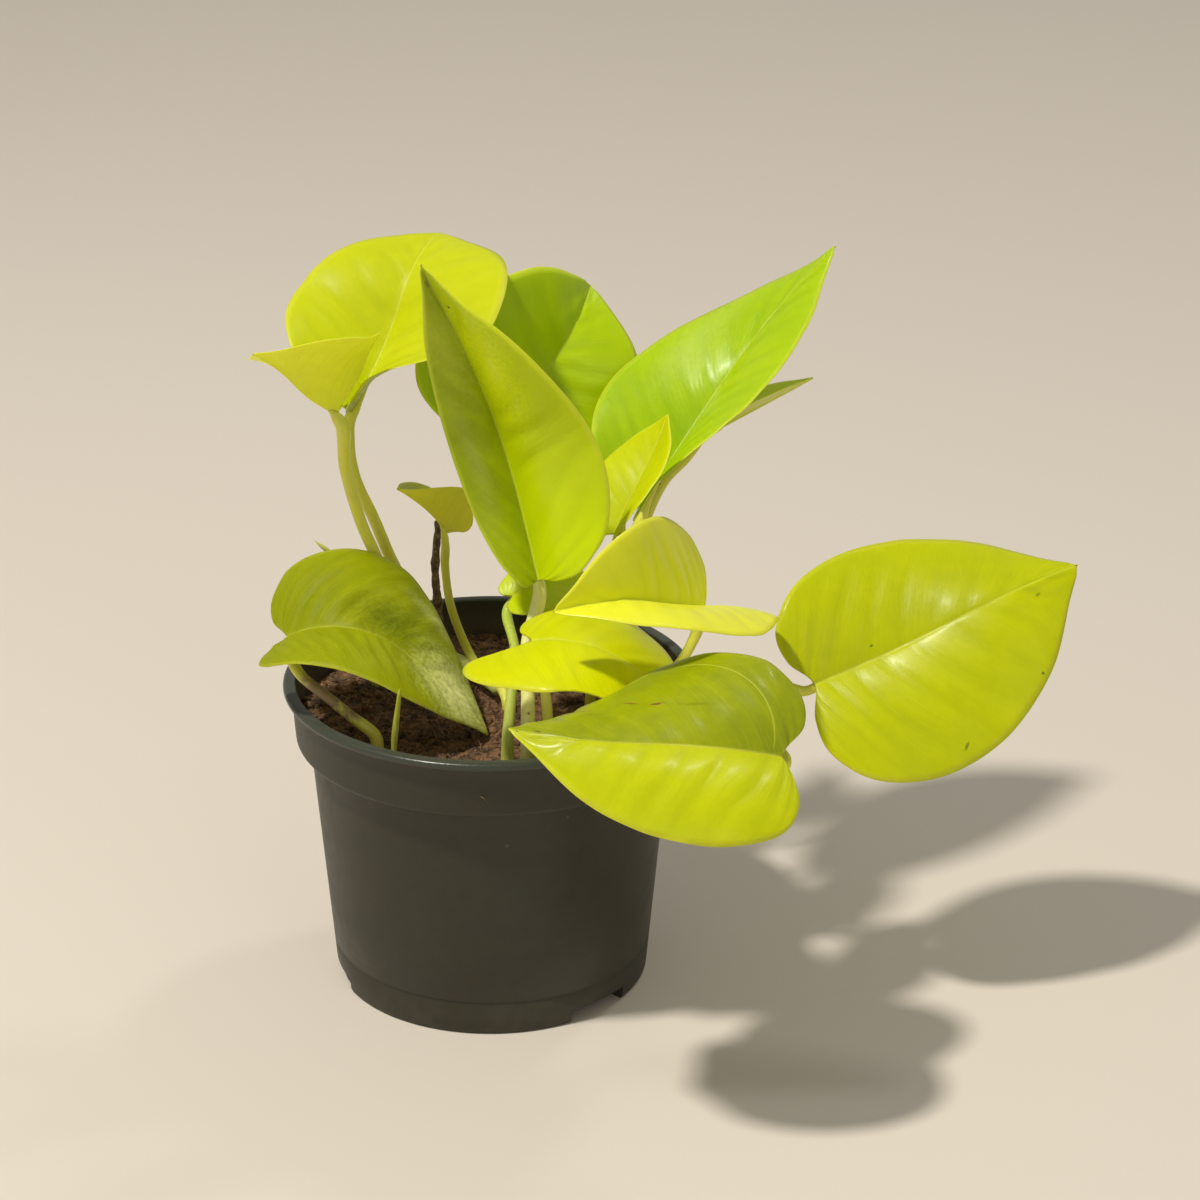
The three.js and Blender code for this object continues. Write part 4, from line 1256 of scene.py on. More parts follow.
GREEN_SCAR = (0.12, 0.15, 0.01)
LEAVES = (
    Leaf(
        "leaf_01", (-35.9, 16.9, 151.2), 49, 36, 9, 61.5, 27.5, 40, (-21, 65), 17, 5, (68, 0), 26, (0.02, 0.07),
        (1.7, 1.5), (-15, 30), ((-19, 27, 90), (-25.9, 21.5, 107.6), (-30, 19, 119.8), (-35, 17, 133.5)),
        seed=1.0, soft=2.0, crease=0.02, swell=0.25,
        finish=hue((199, 206, 8), (176, 185, 2), roughness=0.4, coat=0.0, crepe=0.12),
    ),
    Leaf(
        "leaf_02", (-37.9, 0, 157.6), 206, 25, 13, 29, 26, 20, (-26, 22), 4, 20, (66, 3), 0, (0.02, 0.2),
        (1.5, 1.6), (-21, 21), ((-23, 18, 90), (-28.6, 12, 110), (-33.3, 7.4, 124.6), (-36.7, 3.6, 141)),
        seed=2.0, quilt=0.10, swell=0.15, wave=0.1, hold=2.4,
        finish=hue((202, 208, 15), (178, 188, 5), under=(0.92, 0.96, 0.05), subsurface=0.85),
    ),
    Leaf(
        "leaf_03", (4.3, 29.3, 133.8), 66, 39, 43, 55.3, 36.7, 30.2, (-28, 49), -9, 11, (11, 23), 8, (0.02, 0.1),
        (1.6, 1.2), (20, 27), ((19, 27.5, 90), (16.6, 28.5, 104.6), (10.8, 29.5, 118.3)),
        seed=3.0, finish=hue((184, 208, 2), (156, 184, 0)),
    ),
    Leaf(
        "leaf_04", (12.2, -22.3, 119.8), 109, 51, -14, 92.5, 14.5, 29, (-49, -7), 11, -31, (60, 35), 40, (0.02, 0.03),
        (1.9, 1.5), (9.3, -40.5), ((9.3, -39.5, 83), (9.4, -34.8, 92.6), (9.4, -26.6, 104.5)),
        seed=4.0, crease=0.05,
        finish=hue(
            # Left half: painted shade, darker olive where it is turned from the light.
            (205, 222, 2), (178, 196, 0), tip=1.0, shade=(0.15, 0.19, 0.006), halves=(0.62, 0.0),
            marks=(
                # The first three marks are painted light: a pale sheen on the shaded left half, a brighter upper right
                # half, and a lighter patch that eases the painted shade near the tip; the small ones after are brown
                # scars.
                Mark(38, 9, 22, 3.0, 0, 0.35, (0.44, 0.46, 0.14), True),
                Mark(62, -8, 24, 9, 0, 0.8, (0.84, 1.0, 0.004), True),
                Mark(68, 5, 18, 5, 0, 0.45, (0.60, 0.62, 0.06), True),
                Mark(74, 8.7, 1.8, 0.5, 0, 0.8), Mark(79.5, -2.4, 0.5, 0.35), Mark(87, 1.0, 1.2, 0.4, 0, 0.6),
            ),
            sheens=(Mark(62, -8.2, 5.5, 0.8, 0, 1.0), Mark(53, -10.5, 5.0, 0.8, 0, 1.0)),
        ),
        stalk_finish=StalkFinish(low=(0.86, 0.84, 0.30), high=(0.92, 0.91, 0.36)),
    ),
    Leaf(
        "leaf_05", (39.2, 12.3, 125.3), 54, 34, 5, 88, 25, 23.5, (-14, 2), -30, -33, (64, -20), 11, (0.02, 0.08),
        (1.8, 1.4), (27, 12), ((29, 12, 84), (34, 12, 98), (37.2, 12, 111)),
        seed=5.0, quilt=0.3, veins=10.0,
        finish=hue(
            (178, 204, 8), (138, 174, 0), under=(0.66, 0.68, 0.06), roughness=0.36, subsurface=0.7,
            # The pale tinted patch is a painted sheen over the left half.
            marks=(Mark(46, 14, 19, 7, 0, 0.30, (0.60, 0.72, 0.22), True),),
            sheens=(Mark(46, 14, 22, 9, 0, 1.0, soft=True),),
        ),
    ),
    Leaf(
        "leaf_06", (31.5, -14.6, 129.2), 42, 59, -12, 33, 13, 13.5, (8, -13), 1, 2, (36, 9), 7, (0.06, 0.06),
        (1.3, 1.0), (26, 0), ((27, -2, 88), (28.5, -6, 103), (29.7, -11, 115)),
        seed=6.0, quilt=0.10, wave=0.15, finish=hue((206, 214, 0), (180, 190, 0), roughness=0.42, coat=0.0, crepe=0.12),
    ),
    Leaf(
        "leaf_07", (55, -15.5, 109.4), 232, 20, -31, 59.5, 27.5, 22, (-3, 39), -3, -21, (44, 50), 22, (0.19, 0.02),
        (1.6, 1.2), (37, -17), ((39, -17, 80), (44, -16, 87.5), (50, -15, 95.6)),
        seed=7.0,
        # Painted sheen: the whole face is painted paler and brighter than its own green.
        finish=hue((238, 241, 60), (214, 219, 20), tip=1.0, subsurface=0.85, under=(0.8, 0.82, 0.05), crepe=0.15),
    ),
    Leaf(
        "leaf_08", (83.2, -17.6, 88.3), 13, 17, 50, 75.5, 30, 35.5, (-13, 27), 6, -16, (11, -20), 10, (0.06, 0.05),
        (1.6, 1.2), (35, -10), ((37.5, -10, 79.5), (45, -12, 86), (56, -14.5, 90), (68, -17, 90.5)),
        seed=8.0, quilt=0.30, swell=0.5, crease=0.16,
        finish=hue(
            # Left half: painted shade, a little darker where the fold turns it from the light.
            (197, 203, 0), (164, 174, 0), tip=0.8, halves=(0.16, 0.0), specular=0.16,
            sheens=(Mark(18, -6, 15, 5, -20, 0.4, soft=True), Mark(2, -30, 9, 5, -60, 0.8, soft=True)),
            marks=(
                Mark(17.4, 3.4, 0.5, 0.3, 0, 0.9, GREEN_SCAR), Mark(61.9, -3.5, 0.8, 0.4, 20, 0.6, GREEN_SCAR),
                Mark(53.6, -22.5, 0.5, 0.45, 0, 0.9, GREEN_SCAR), Mark(27.9, -30.8, 1.3, 0.4, 40, 0.7, GREEN_SCAR),
            ),
        ),
    ),
    Leaf(
        "leaf_09", (69.5, -81.9, 98.6), 197, 18, -32, 68.3, 28.2, 35.6, (14, -11), -4, 28, (18, -17), 37, (0.02, 0.1),
        (1.6, 1.2), (28, -30),
        ((28.6, -30.8, 78), (35, -41, 88.3), (46, -53.5, 90), (60, -62.5, 92.5), (70.4, -72, 94.6)),
        seed=9.0, quilt=0.36, swell=0.5, bites=((1, 0.72, 0.15, 0.018), (1, 0.83, -0.30, 0.05)),
        finish=hue(
            # Right half: painted shade, much darker where the fold turns it from the light.
            (202, 209, 0), (168, 177, 0), tip=0.95, halves=(0.0, 0.78), film=0.13,
            marks=(
                Mark(35.2, -16.6, 2.2, 0.40, -35, 0.85), Mark(29.4, -14.6, 2.0, 0.42, -9, 0.95),
                Mark(20.5, -13.0, 7.0, 0.7, -8, 0.5, (0.16, 0.20, 0.0), True), Mark(47.0, -18.6, 4.5, 0.55, -25, 0.9),
                Mark(60.8, -1.0, 0.8, 0.5, 0, 0.8), Mark(64.8, -3.2, 0.5, 0.35), Mark(66.2, 0.6, 0.4, 0.3),
            ),
            arcs=(Arc(27.5, -6.0, 25.6, 0.30, -1),),
            sheens=(Mark(60, 2, 7.5, 9, 0, 1.0, soft=True), Mark(52, -14, 4, 3, 0, 1.0, soft=True)),
        ),
    ),
    Leaf(
        "leaf_10", (10.2, -39.4, 110.7), -15, 14, 10, 53.0, 21.1, 24.1, (51, 18), 3, -2, (1, 1), 19, (0.08, 0.28),
        (1.5, 1.1), (14.6, -36.5), ((14.3, -36.4, 87.5), (13.3, -37, 96.8)),
        seed=10.0, quilt=0.14, bites=((0, 0.70, -0.35, 0.15), (1, 0.56, 0.34, 0.13), (1, 0.78, 0.30, 0.10)),
        finish=hue((212, 217, 4), (190, 196, 0)),
    ),
    Leaf(
        "leaf_11", (5.7, -9.1, 109.9), 13, 24, 25, 22.2, 7.5, 10.5, (21, 18), 1, 5, (14, 17), 14, (0.1, 0.1),
        (1.6, 1.1), (4.1, -37), ((4.2, -36, 81), (5.3, -30, 92.4), (6.2, -19.5, 99.8)),
        seed=11.0, quilt=0.1, wave=0.1, finish=hue((200, 215, 5), (185, 205, 0)),
        stalk_finish=StalkFinish(low=(0.56, 0.60, 0.14), high=(0.42, 0.56, 0.03)),
    ),
    Leaf(
        "leaf_12", (-52.1, -11.7, 100), -24, 36, 26, 65, 27.5, 18.5, (78, 13), -10, -20, (22, -1), 19, (0.07, 0.08),
        (1.6, 1.2), (-29, -24), ((-29.6, -24, 77.8), (-35.6, -22.6, 82.6), (-42.2, -20, 87.4), (-48.6, -16, 91.5)),
        seed=12.0, quilt=0.34, swell=0.6, crumple=2.4, veins=12.0,
        finish=hue(
            (152, 159, 2), (112, 124, 0), roughness=0.5, coat=0.0, specular=0.15, banding=0.16, crepe=0.5,
            # The first mark is painted shade over the middle of the blade; the two pale marks are painted sheen towards
            # the tip and along the outer margin.
            marks=(
                Mark(27, 6, 11, 8, 0, 0.8, (0.08, 0.11, 0.002), True),
                Mark(51, 1, 17, 13, 0, 0.9, (0.90, 0.92, 0.38), True),
                Mark(38, 19, 12, 4, 0, 0.5, (0.62, 0.64, 0.22), True),
            ),
        ),
        stalk_finish=StalkFinish(dry_from=0.25, dry_to=0.66, dry=(0.22, 0.12, 0.10)),
    ),
    Leaf(
        "leaf_13", (-10.8, 18.9, 117.5), 219, 52, 11, 23, 11, 9.5, (10, 7), 0, -2, (66, 21), 0, (0.2, 0.2),
        (1.4, 1.0), (4.5, -3),
        (
            (4.4, -2.6, 76.8), (2.8, 3, 78.6), (-0.2, 10, 78.2), (-5, 20, 80), (-7.8, 21.3, 86),
            (-10.5, 20, 95.6), (-11.7, 19, 107),
        ),
        vine=((-10.5, 24, 78.2), (-5, 16.5, 78), (2.5, 2.8, 78)),
        seed=13.0, quilt=0.06, swell=0.1, wave=0.08, hold=3.0,
        finish=hue((196, 198, 30), (176, 180, 18), under=(0.92, 0.88, 0.08), subsurface=0.85),
    ),
    Leaf(
        "leaf_14", (53.5, 38.5, 134.3), 14, 22, -14, 37, 11.5, 12.5, (-1, -2), 0, -1, (20, 20), 0, (0.06, 0.06),
        (1.4, 1.0), (31, 30), ((33.5, 31, 88), (40, 34, 108), (46.9, 36, 123.5)),
        seed=14.0, quilt=0.10, wave=0.12,
        finish=hue((194, 210, 30), (176, 196, 15), under=(0.68, 0.72, 0.08), subsurface=0.8),
    ),
)


class Growth(Enum):
    """Kinds of thin stem that carry no blade."""

    SPROUT = "sprout"
    FURLED = "furled"
    DRY = "dry"


@dataclass(frozen=True)
class Rod:
    """A young shoot or a dry stem that stands in its own hole."""

    name: str
    kind: Growth
    radii: tuple[float, float]
    root: tuple[float, float]
    via: tuple[Point, ...]
    slot: str

    def build(self) -> bpy.types.Object:
        """Sweep the rod with the swelling and taper of its kind."""
        path = smooth_path([*stem_foot(self.root), *self.via], 0.7)
        run = np.linspace(0, 1, len(path))
        low, high = self.radii
        if self.kind is Growth.DRY:
            radius = (low + (high - low) * run) * (1 + 0.16 * np.sin(run * 37) * np.sin(run * 11))
            radius = radius * np.clip((1 - run) / 0.02 + 0.4, 0.4, 1)
            skin = EarthFinish(dark=(0.07, 0.045, 0.025), light=(0.32, 0.22, 0.12), scale=500.0, roughness=0.85)
            material = skin.material(self.name)
            return swept(self.name, path, radius, material, sides=12, unevenness=0.7, grain=700.0)
        full = low + (high - low) * run**1.6
        if self.kind is Growth.SPROUT:
            radius = full * (1 - 0.25 * np.exp(-(((run - 0.35) / 0.12) ** 2)))
            skin = StalkFinish(low=(0.52, 0.50, 0.10), high=(0.44, 0.50, 0.02))
        else:
            radius = full
            skin = StalkFinish(low=(0.52, 0.58, 0.10), high=(0.66, 0.68, 0.16))
        radius = radius * np.clip((1 - run) / 0.05, 0.1, 1)
        return swept(self.name, path, radius, skin.material(self.name), sides=14, unevenness=0.2, grain=240.0)


RODS = (
    Rod(
        "shoot_front", Growth.SPROUT, (1.1, 0.45), (-24.6, -34),
        ((-24.3, -34.3, 81.5), (-23.3, -35.5, 90.6), (-22.5, -37.2, 97.2)), "shoot",
    ),
    Rod(
        "shoot_back", Growth.FURLED, (1.5, 0.45), (-30, 14),
        ((-31, 13.5, 90), (-35.5, 12.5, 107), (-45.5, 10, 118)), "shoot",
    ),
    Rod(
        "dry_stem", Growth.DRY, (1.3, 1.0), (-13.6, 38),
        ((-13.6, 38, 82), (-14.6, 37, 98), (-13.4, 36, 113)), "dry_stem",
    ),
)


@dataclass(frozen=True)
class Pot:
    """Round nursery pot with a deep rim band, a rolled lip and three drainage notches."""

    height: float = 83.5
    rim: float = 54.0
    lip: float = 1.1
    band_top: float = 52.2
    band_low: float = 51.0
    band_z: float = 69.0
    band_round: float = 2.0
    body_top: float = 47.3
    body_z: float = 66.6
    base: float = 41.5
    foot: float = 1.2
    wall: float = 1.5
    floor: float = 1.8
    ring_z: float = 9.5
    ring_depth: float = 0.28
    notches: int = 3
    notch_width: float = 18.5
    notch_height: float = 4.0
    notch_depth: float = 8.0
    notch_first: float = -47.5
    sides: int = 180

    def inner(self, z: float) -> float:
        """Return the radius of the inner wall at a height."""
        if z >= self.band_z:
            share = (z - self.band_z) / (self.height - self.band_z)
            return self.band_low - self.wall + share * (self.band_top - self.band_low)
        return self.base - self.wall + (z / self.body_z) * (self.body_top - self.base)

    @staticmethod
    def corner(
        r: float, z: float, radius: float, start: float, stop: float, steps: int = 6
    ) -> list[tuple[float, float]]:
        """Round a corner of the profile.

        Args:
            r: Radius of the corner's centre.
            z: Height of the corner's centre.
            radius: The rounding.
            start: First angle in degrees.
            stop: Last angle in degrees.
            steps: Number of steps.

        Returns:
            Profile points.
        """
        angles = [math.radians(start + (stop - start) * k / steps) for k in range(steps + 1)]
        return [(r + radius * math.cos(a), z + radius * math.sin(a)) for a in angles]

    def profile(self) -> list[tuple[float, float]]:
        """Return the wall's outline from the axis under the floor, round the lip, to the axis inside."""
        slope = (self.body_top - self.base) / (self.body_z - self.foot)
        ring = [
            (self.base + slope * (self.ring_z + dz - self.foot) - self.ring_depth * depth, self.ring_z + dz)
            for dz, depth in ((-0.7, 0), (-0.25, 1), (0.25, 1), (0.7, 0))
        ]
        fillet = 0.8
        top = self.height
        return [
            (0.0, 0.0),
            *self.corner(self.base - self.foot, self.foot, self.foot, -90, 0),
            *ring,
            *[(self.base + slope * (z - self.foot), z) for z in (24.0, 38.0, 52.0)],
            (self.body_top - 0.1, self.body_z - fillet),
            (self.body_top + 0.15, self.body_z - 0.15),
            (self.body_top + fillet, self.body_z + 0.25),
            *self.corner(self.band_low - self.band_round, self.band_z, self.band_round, -90, 0),
            (self.band_low + 0.55, (self.band_z + top) / 2),
            (self.band_top - 0.05, top - 2 * self.lip - 0.5),
            (self.band_top + 0.2, top - 2 * self.lip),
            *self.corner(self.rim - self.lip, top - self.lip, self.lip, -90, 90, 10),
            *self.corner(self.inner(top) + 0.6, top - 0.6, 0.6, 90, 180, 5),
            (self.inner(self.band_z + 6), self.band_z + 6),
            (self.inner(self.band_z), self.band_z),
            (self.inner(self.body_z), self.body_z),
            (self.inner(30.0), 30.0),
            (self.inner(self.floor), self.floor),
            (0.0, self.floor),
        ]

    def build(self) -> bpy.types.Object:
        """Turn the wall and cut the notches."""
        points = self.profile()
        rings = points[1:-1]
        verts: list[Point] = [(0.0, 0.0, 0.0), (0.0, 0.0, self.floor * MM)]
        for r, z in rings:
            for k in range(self.sides):
                angle = 2 * math.pi * k / self.sides
                verts.append((r * MM * math.cos(angle), r * MM * math.sin(angle), z * MM))
        faces: list[tuple[int, ...]] = []
        for k in range(self.sides):
            nxt = (k + 1) % self.sides
            faces.append((0, 2 + nxt, 2 + k))
            last = 2 + (len(rings) - 1) * self.sides
            faces.append((1, last + k, last + nxt))
            for n in range(len(rings) - 1):
                a = 2 + n * self.sides
                faces.append((a + k, a + nxt, a + self.sides + nxt, a + self.sides + k))
        mesh = bpy.data.meshes.new("pot_shell")
        mesh.from_pydata(verts, [], faces)
        piece = new_piece("pot_shell", mesh)
        faces_out(piece)
        cutters = []
        for n in range(self.notches):
            work = bmesh.new()
            size = Matrix.Diagonal((2 * self.notch_depth * MM, self.notch_width * MM, 2 * self.notch_height * MM, 1))
            turn = Matrix.Rotation(math.radians(self.notch_first + n * 360 / self.notches), 4, "Z")
            bmesh.ops.create_cube(work, size=1.0, matrix=turn @ Matrix.Translation((self.base * MM, 0, 0)) @ size)
            mesh = bpy.data.meshes.new("notch")
            work.to_mesh(mesh)
            work.free()
            cutters.append(new_piece("notch", mesh))
            cut = piece.modifiers.new("notch", "BOOLEAN")
            cut.operation, cut.solver, cut.object = "DIFFERENCE", "EXACT", cutters[-1]
        baked(piece)
        for cutter in cutters:
            bpy.data.objects.remove(cutter)
        faces_out(piece)
        piece.data.set_sharp_from_angle(angle=math.radians(38))
        self.mark_areas(piece.data)
        piece.data.materials.append(PlasticFinish().material("pot_plastic"))
        return piece

    def mark_areas(self, mesh: bpy.types.Mesh) -> None:
        """Store which points are inside, on the lip's edge or near the foot.

        Args:
            mesh: The pot's mesh.
        """
        places = np.zeros(len(mesh.vertices) * 3, np.float32)
        mesh.vertices.foreach_get("co", places)
        x, y, z = places.reshape(-1, 3).T / MM
        r = np.hypot(x, y)
        within = np.array([rr < self.inner(max(zz, 0.0)) + 0.4 for rr, zz in zip(r, z)]) & (z > 1.0)
        areas = np.ones((len(z), 4), np.float32)
        areas[:, 0] = within
        areas[:, 1] = np.clip((z - (self.height - 2.2 * self.lip)) / self.lip, 0, 1) * (r > self.band_top - 1.5)
        areas[:, 2] = np.clip(1 - z / 14, 0, 1)
        mesh.attributes.new("areas", "FLOAT_COLOR", "POINT").data.foreach_set("color", areas.ravel())


@dataclass(frozen=True)
class Soil:
    """Potting mix: a lumpy bed, crumbs, bark chips and fibres."""

    pot: Pot
    top: float = SOIL_TOP
    gap: float = 0.15
    rings: int = 64
    sides: int = 150
    seed: int = 5

    def height(self, x: float, y: float) -> float:
        """Return the bed's height at a place, in millimetres."""
        broad = noise.noise(Vector((x / 14, y / 14, 1.3))) * 1.0
        clods = noise.noise(Vector((x / 4.2, y / 4.2, 7.7))) * 0.9
        small = noise.noise(Vector((x / 1.6, y / 1.6, 3.1))) * 0.4
        return self.top + broad + clods + small

    def bed(self) -> bpy.types.Object:
        """Build the plug of soil with its uneven top."""
        edge = self.pot.inner(self.top) - self.gap
        verts: list[Point] = []
        top_flags: list[float] = []
        for n in range(1, self.rings + 1):
            r = edge * n / self.rings
            for k in range(self.sides):
                angle = 2 * math.pi * (k + 0.5 * (n % 2)) / self.sides
                x, y = r * math.cos(angle), r * math.sin(angle)
                z = self.height(x, y) if n < self.rings else self.top - 0.5
                verts.append((x * MM, y * MM, z * MM))
                top_flags.append(1.0 if n < self.rings - 1 else 0.0)
        lower = [
            (self.pot.inner(self.pot.band_z) - self.gap - 0.2, self.pot.band_z + 0.3),
            (self.pot.inner(self.pot.body_z) - self.gap - 0.2, self.pot.body_z),
            (self.pot.inner(6.0) - self.gap - 0.2, 6.0),
            (self.pot.base - self.pot.notch_depth - 2.0, self.pot.floor + 0.3),
        ]
        for n, (r, z) in enumerate(lower):
            for k in range(self.sides):
                angle = 2 * math.pi * (k + 0.5 * (self.rings % 2)) / self.sides
                verts.append((r * MM * math.cos(angle), r * MM * math.sin(angle), z * MM))
                top_flags.append(0.0)
        total = self.rings + len(lower)
        centre = len(verts)
        verts += [(0.0, 0.0, self.height(0, 0) * MM), (0.0, 0.0, (self.pot.floor + 0.3) * MM)]
        top_flags += [1.0, 0.0]
        faces: list[tuple[int, ...]] = []
        for k in range(self.sides):
            nxt = (k + 1) % self.sides
            faces.append((centre, k, nxt))
            faces.append((centre + 1, (total - 1) * self.sides + nxt, (total - 1) * self.sides + k))
            for n in range(total - 1):
                a = n * self.sides
                faces.append((a + k, a + self.sides + k, a + self.sides + nxt, a + nxt))
        mesh = bpy.data.meshes.new("soil_bed")
        mesh.from_pydata(verts, [], faces)
        mesh.attributes.new("top", "FLOAT", "POINT").data.foreach_set("value", np.array(top_flags, np.float32))
        piece = new_piece("soil_bed", mesh)
        faces_out(piece)
        mesh.materials.append(EarthFinish().material("soil_bed"))
        return piece

    @staticmethod
    def bit(name: str, size: Point, cuts: int) -> bpy.types.Object:
        """Build a small rounded shape to strew.

        Args:
            name: Its name.
            size: Half sizes in millimetres.
            cuts: 1 for 20 faces, 2 for 80.

        Returns:
            The shape.
        """
        work = bmesh.new()
        bmesh.ops.create_icosphere(work, subdivisions=cuts, radius=1.0)
        for vertex in work.verts:
            vertex.co = Vector([c * s * MM for c, s in zip(vertex.co, size)])
        mesh = bpy.data.meshes.new(name)
        work.to_mesh(mesh)
        work.free()
        return new_piece(name, mesh)

    @staticmethod
    def strand(name: str, length: float, radius: float) -> bpy.types.Object:
        """Build one thin curved fibre to strew, lying along X."""
        shares = np.linspace(0, 1, 8)
        path = np.array(
            [(length * (t - 0.5), 0.25 * length * math.sin(3 * t), 0.3 * math.sin(9 * t) + 0.4) for t in shares]
        )
        width = np.full(len(path), radius)
        return swept(name, path, width, bpy.data.materials.get("soil_fibres"), sides=4)

    def strewn(
        self, name: str, bed: bpy.types.Object, shape: bpy.types.Object, finish: bpy.types.Material,
        density: float, sizes: tuple[float, float], tilt: float, unevenness: float, seed: int,
    ) -> bpy.types.Object:
        """Strew a shape over the bed.

        Args:
            name: The new piece's name.
            bed: The soil's surface.
            shape: What is strewn.
            finish: Its material.
            density: Bits per square metre.
            sizes: Smallest and largest scale.
            tilt: How far bits are tipped, in radians.
            unevenness: How far points wander, in millimetres.
            seed: Seed of the random draw.

        Returns:
            The new piece.
        """
        piece = new_piece(name, bed.data.copy())
        piece.data.materials.clear()
        use_tree(
            piece, Trees.scatter(),
            {
                "Shape": shape, "Density": density, "Smallest": sizes[0], "Largest": sizes[1], "Tilt": tilt,
                "Unevenness": unevenness * MM, "Seed": seed, "Material": finish,
            },
        )
        baked(piece)
        bpy.data.objects.remove(shape)
        faces_out(piece)
        return piece

    def build(self) -> list[bpy.types.Object]:
        """Build the bed and everything strewn on it."""
        bed = self.bed()
        fine = EarthFinish(dark=(0.048, 0.026, 0.012), light=(0.29, 0.15, 0.065), scale=300.0)
        crumb = fine.material("soil_crumbs")
        bark = EarthFinish(dark=(0.07, 0.032, 0.016), light=(0.26, 0.13, 0.07), scale=220.0).material("bark_chips")
        straw = EarthFinish(dark=(0.12, 0.07, 0.035), light=(0.34, 0.22, 0.13), scale=260.0).material("soil_fibres")
        pieces = [bed]
        plan = (
            ("soil_crumbs", self.bit("crumb", (0.55, 0.5, 0.42), 1), crumb, 420000.0, (0.4, 1.5), 3.14, 0.5),
            ("soil_clods", self.bit("clod", (1.5, 1.3, 1.0), 2), crumb, 45000.0, (0.5, 1.3), 3.14, 1.3),
            ("bark_chips", self.bit("chip", (2.0, 0.7, 0.3), 2), bark, 22000.0, (0.4, 1.25), 0.5, 0.8),
            ("soil_fibres", self.strand("fibre", 7.0, 0.11), straw, 16000.0, (0.5, 1.4), 0.35, 2.2),
        )
        for n, (name, shape, finish, density, sizes, tilt, uneven) in enumerate(plan):
            pieces.append(self.strewn(name, bed, shape, finish, density, sizes, tilt, uneven, self.seed + n))
        return pieces


@dataclass(frozen=True)
class Lamp:
    """One soft round studio light."""

    name: str
    place: Point
    aim: Point
    size: float
    power: float
    colour: Colour = (1.0, 1.0, 1.0)

    def build(self) -> bpy.types.Object:
        """Put the light in the scene."""
        data = bpy.data.lights.new(self.name, "AREA")
        data.shape, data.size, data.energy, data.color = "DISK", self.size, self.power, self.colour
        lamp = bpy.data.objects.new(self.name, data)
        lamp.location = self.place
        lamp.rotation_euler = (Vector(self.aim) - Vector(self.place)).to_track_quat("-Z", "Y").to_euler()
        bpy.context.scene.collection.objects.link(lamp)
        return lamp


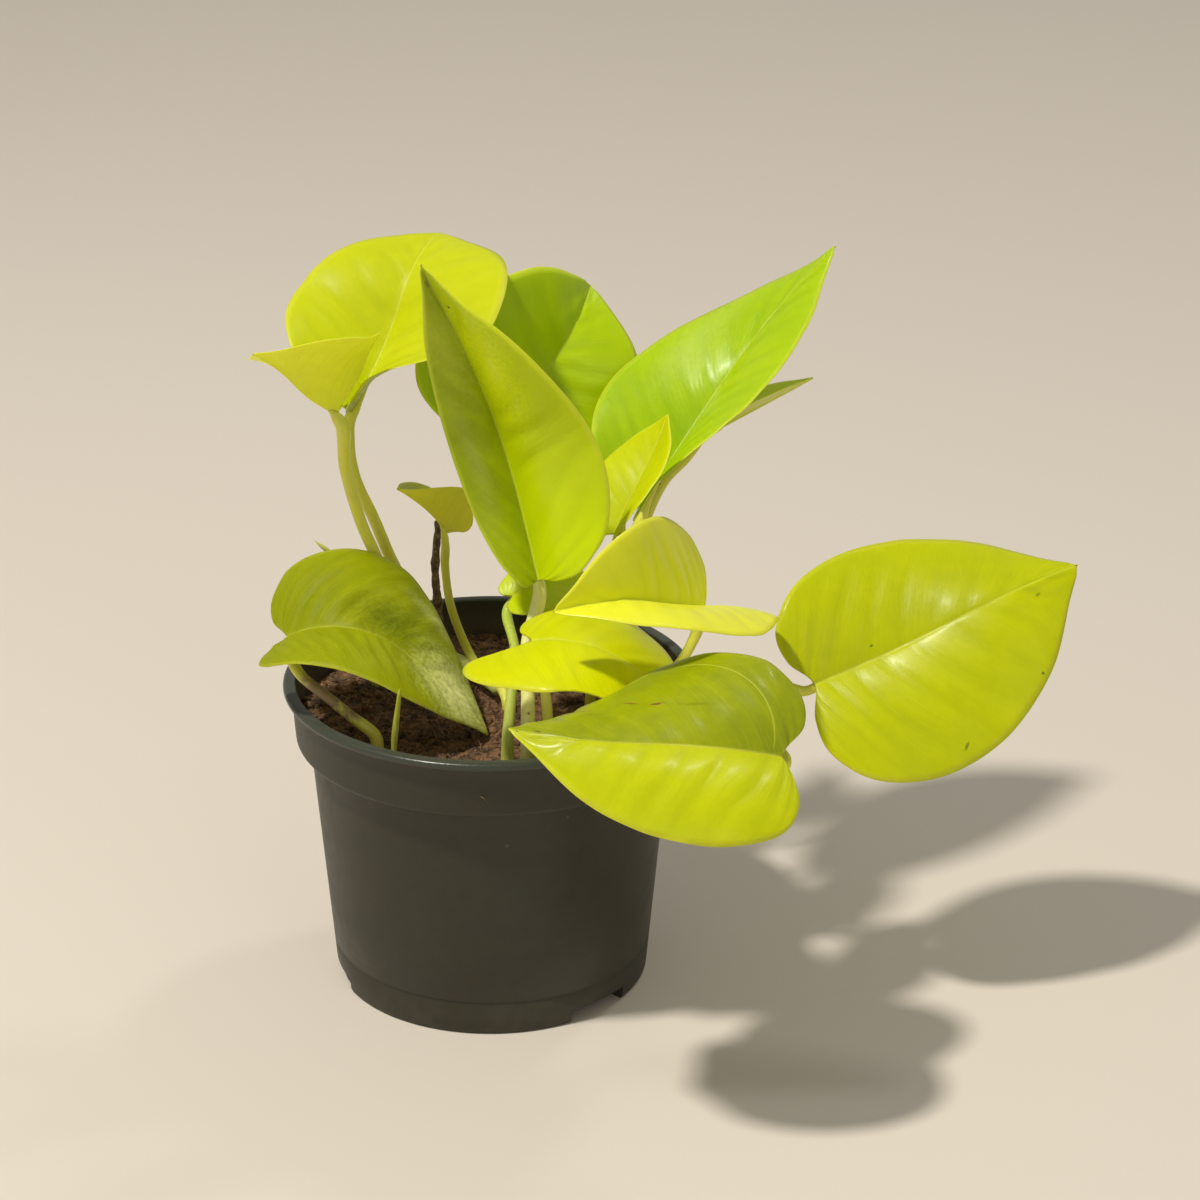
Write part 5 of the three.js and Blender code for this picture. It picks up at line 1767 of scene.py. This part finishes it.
@dataclass(frozen=True)
class Studio:
    """Plain pale floor, soft lights and the camera at the photograph's viewing angle."""

    place: Point = (0.0, -0.857, 0.4697)
    pitch: float = 23.06
    yaw: float = 1.906
    roll: float = 0.308
    lens: float = 108.0
    floor_size: float = 8.0
    floor_colour: Colour = (0.72, 0.66, 0.58)
    sky: Colour = (1.0, 0.95, 0.88)
    sky_strength: float = 0.32
    lamps: tuple[Lamp, ...] = (
        Lamp("key", (-0.62, -0.45, 1.66), (0.01, -0.01, 0.12), 0.14, 25.5, (1.0, 0.96, 0.87)),
        Lamp("back", (0.97, 0.99, 2.03), (0.02, 0.0, 0.12), 0.30, 5.0, (1.0, 0.98, 0.95)),
        Lamp("fill", (0.9, -1.6, 1.3), (0.02, 0.0, 0.1), 1.2, 3.0, (1.0, 0.97, 0.92)),
    )

    def camera(self) -> None:
        """Place the camera."""
        pitch, yaw, roll = (math.radians(a) for a in (self.pitch, self.yaw, self.roll))
        ahead = Vector((math.sin(yaw) * math.cos(pitch), math.cos(yaw) * math.cos(pitch), -math.sin(pitch)))
        right = Vector((math.cos(yaw), -math.sin(yaw), 0.0))
        up = right.cross(ahead)
        right, up = right * math.cos(roll) + up * math.sin(roll), up * math.cos(roll) - right * math.sin(roll)
        data = bpy.data.cameras.new("camera")
        data.lens, data.sensor_width = self.lens, 36.0
        data.clip_start, data.clip_end = 0.05, 60.0
        camera = bpy.data.objects.new("camera", data)
        turn = Matrix((right, up, -ahead)).transposed().to_4x4()
        camera.matrix_world = Matrix.Translation(self.place) @ turn
        bpy.context.scene.collection.objects.link(camera)
        bpy.context.scene.camera = camera

    def floor(self) -> None:
        """Lay the floor."""
        half = self.floor_size / 2
        mesh = bpy.data.meshes.new("floor")
        mesh.from_pydata([(-half, -half, 0), (half, -half, 0), (half, half, 0), (-half, half, 0)], [], [(0, 1, 2, 3)])
        floor = new_piece("floor", mesh)
        material, g, shader = blank_material("floor")
        place = g.node("ShaderNodeTexCoord").outputs["Object"]
        clouds = g.node("ShaderNodeTexNoise", {"Vector": place, "Scale": 3.0, "Detail": 2.0}).outputs[0]
        tone = g.mix(g.math("MULTIPLY", clouds, 0.25), self.floor_colour, tuple(0.93 * c for c in self.floor_colour))
        g.tree.links.new(tone, shader.inputs["Base Color"])
        shader.inputs["Roughness"].default_value = 0.8
        mesh.materials.append(material)

    def build(self) -> None:
        """Set up floor, lights, surroundings and camera."""
        scene = bpy.context.scene
        scene.view_settings.view_transform = "Standard"
        world = bpy.data.worlds.new("studio")
        scene.world = world
        world.use_nodes = True
        back = world.node_tree.nodes["Background"]
        back.inputs[0].default_value = (*self.sky, 1.0)
        back.inputs[1].default_value = self.sky_strength
        self.camera()
        self.floor()
        for lamp in self.lamps:
            lamp.build()


def stand_in(piece: bpy.types.Object, slot: str, node: str | None = None) -> None:
    """Tie a finished piece to the model.

    Args:
        piece: The piece.
        slot: The piece's material slot; not used.
        node: The solid that it stands for, if any.
    """
    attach(piece, BODY)
    if node:
        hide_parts(node)
    faces = len(piece.data.loop_triangles) or sum(len(p.vertices) - 2 for p in piece.data.polygons)
    LOG.info("%s: %d triangles", piece.name, faces)


def write_sizes() -> None:
    """Bring the view layer up to date."""
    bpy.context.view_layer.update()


def main() -> None:
    """Build the studio, the pot, the soil and the plant, in that order."""
    logging.basicConfig(level=logging.INFO, format="%(message)s")
    Studio().build()
    pot = Pot()
    stand_in(pot.build(), "pot", "pot")
    for piece in Soil(pot).build():
        stand_in(piece, "soil", "soil" if piece.name == "soil_bed" else None)
    for leaf in LEAVES:
        stand_in(leaf.build(), "leaf", leaf.name)
    for rod in RODS:
        stand_in(rod.build(), rod.slot, rod.name)
    write_sizes()


if __name__ == "__main__":
    main()
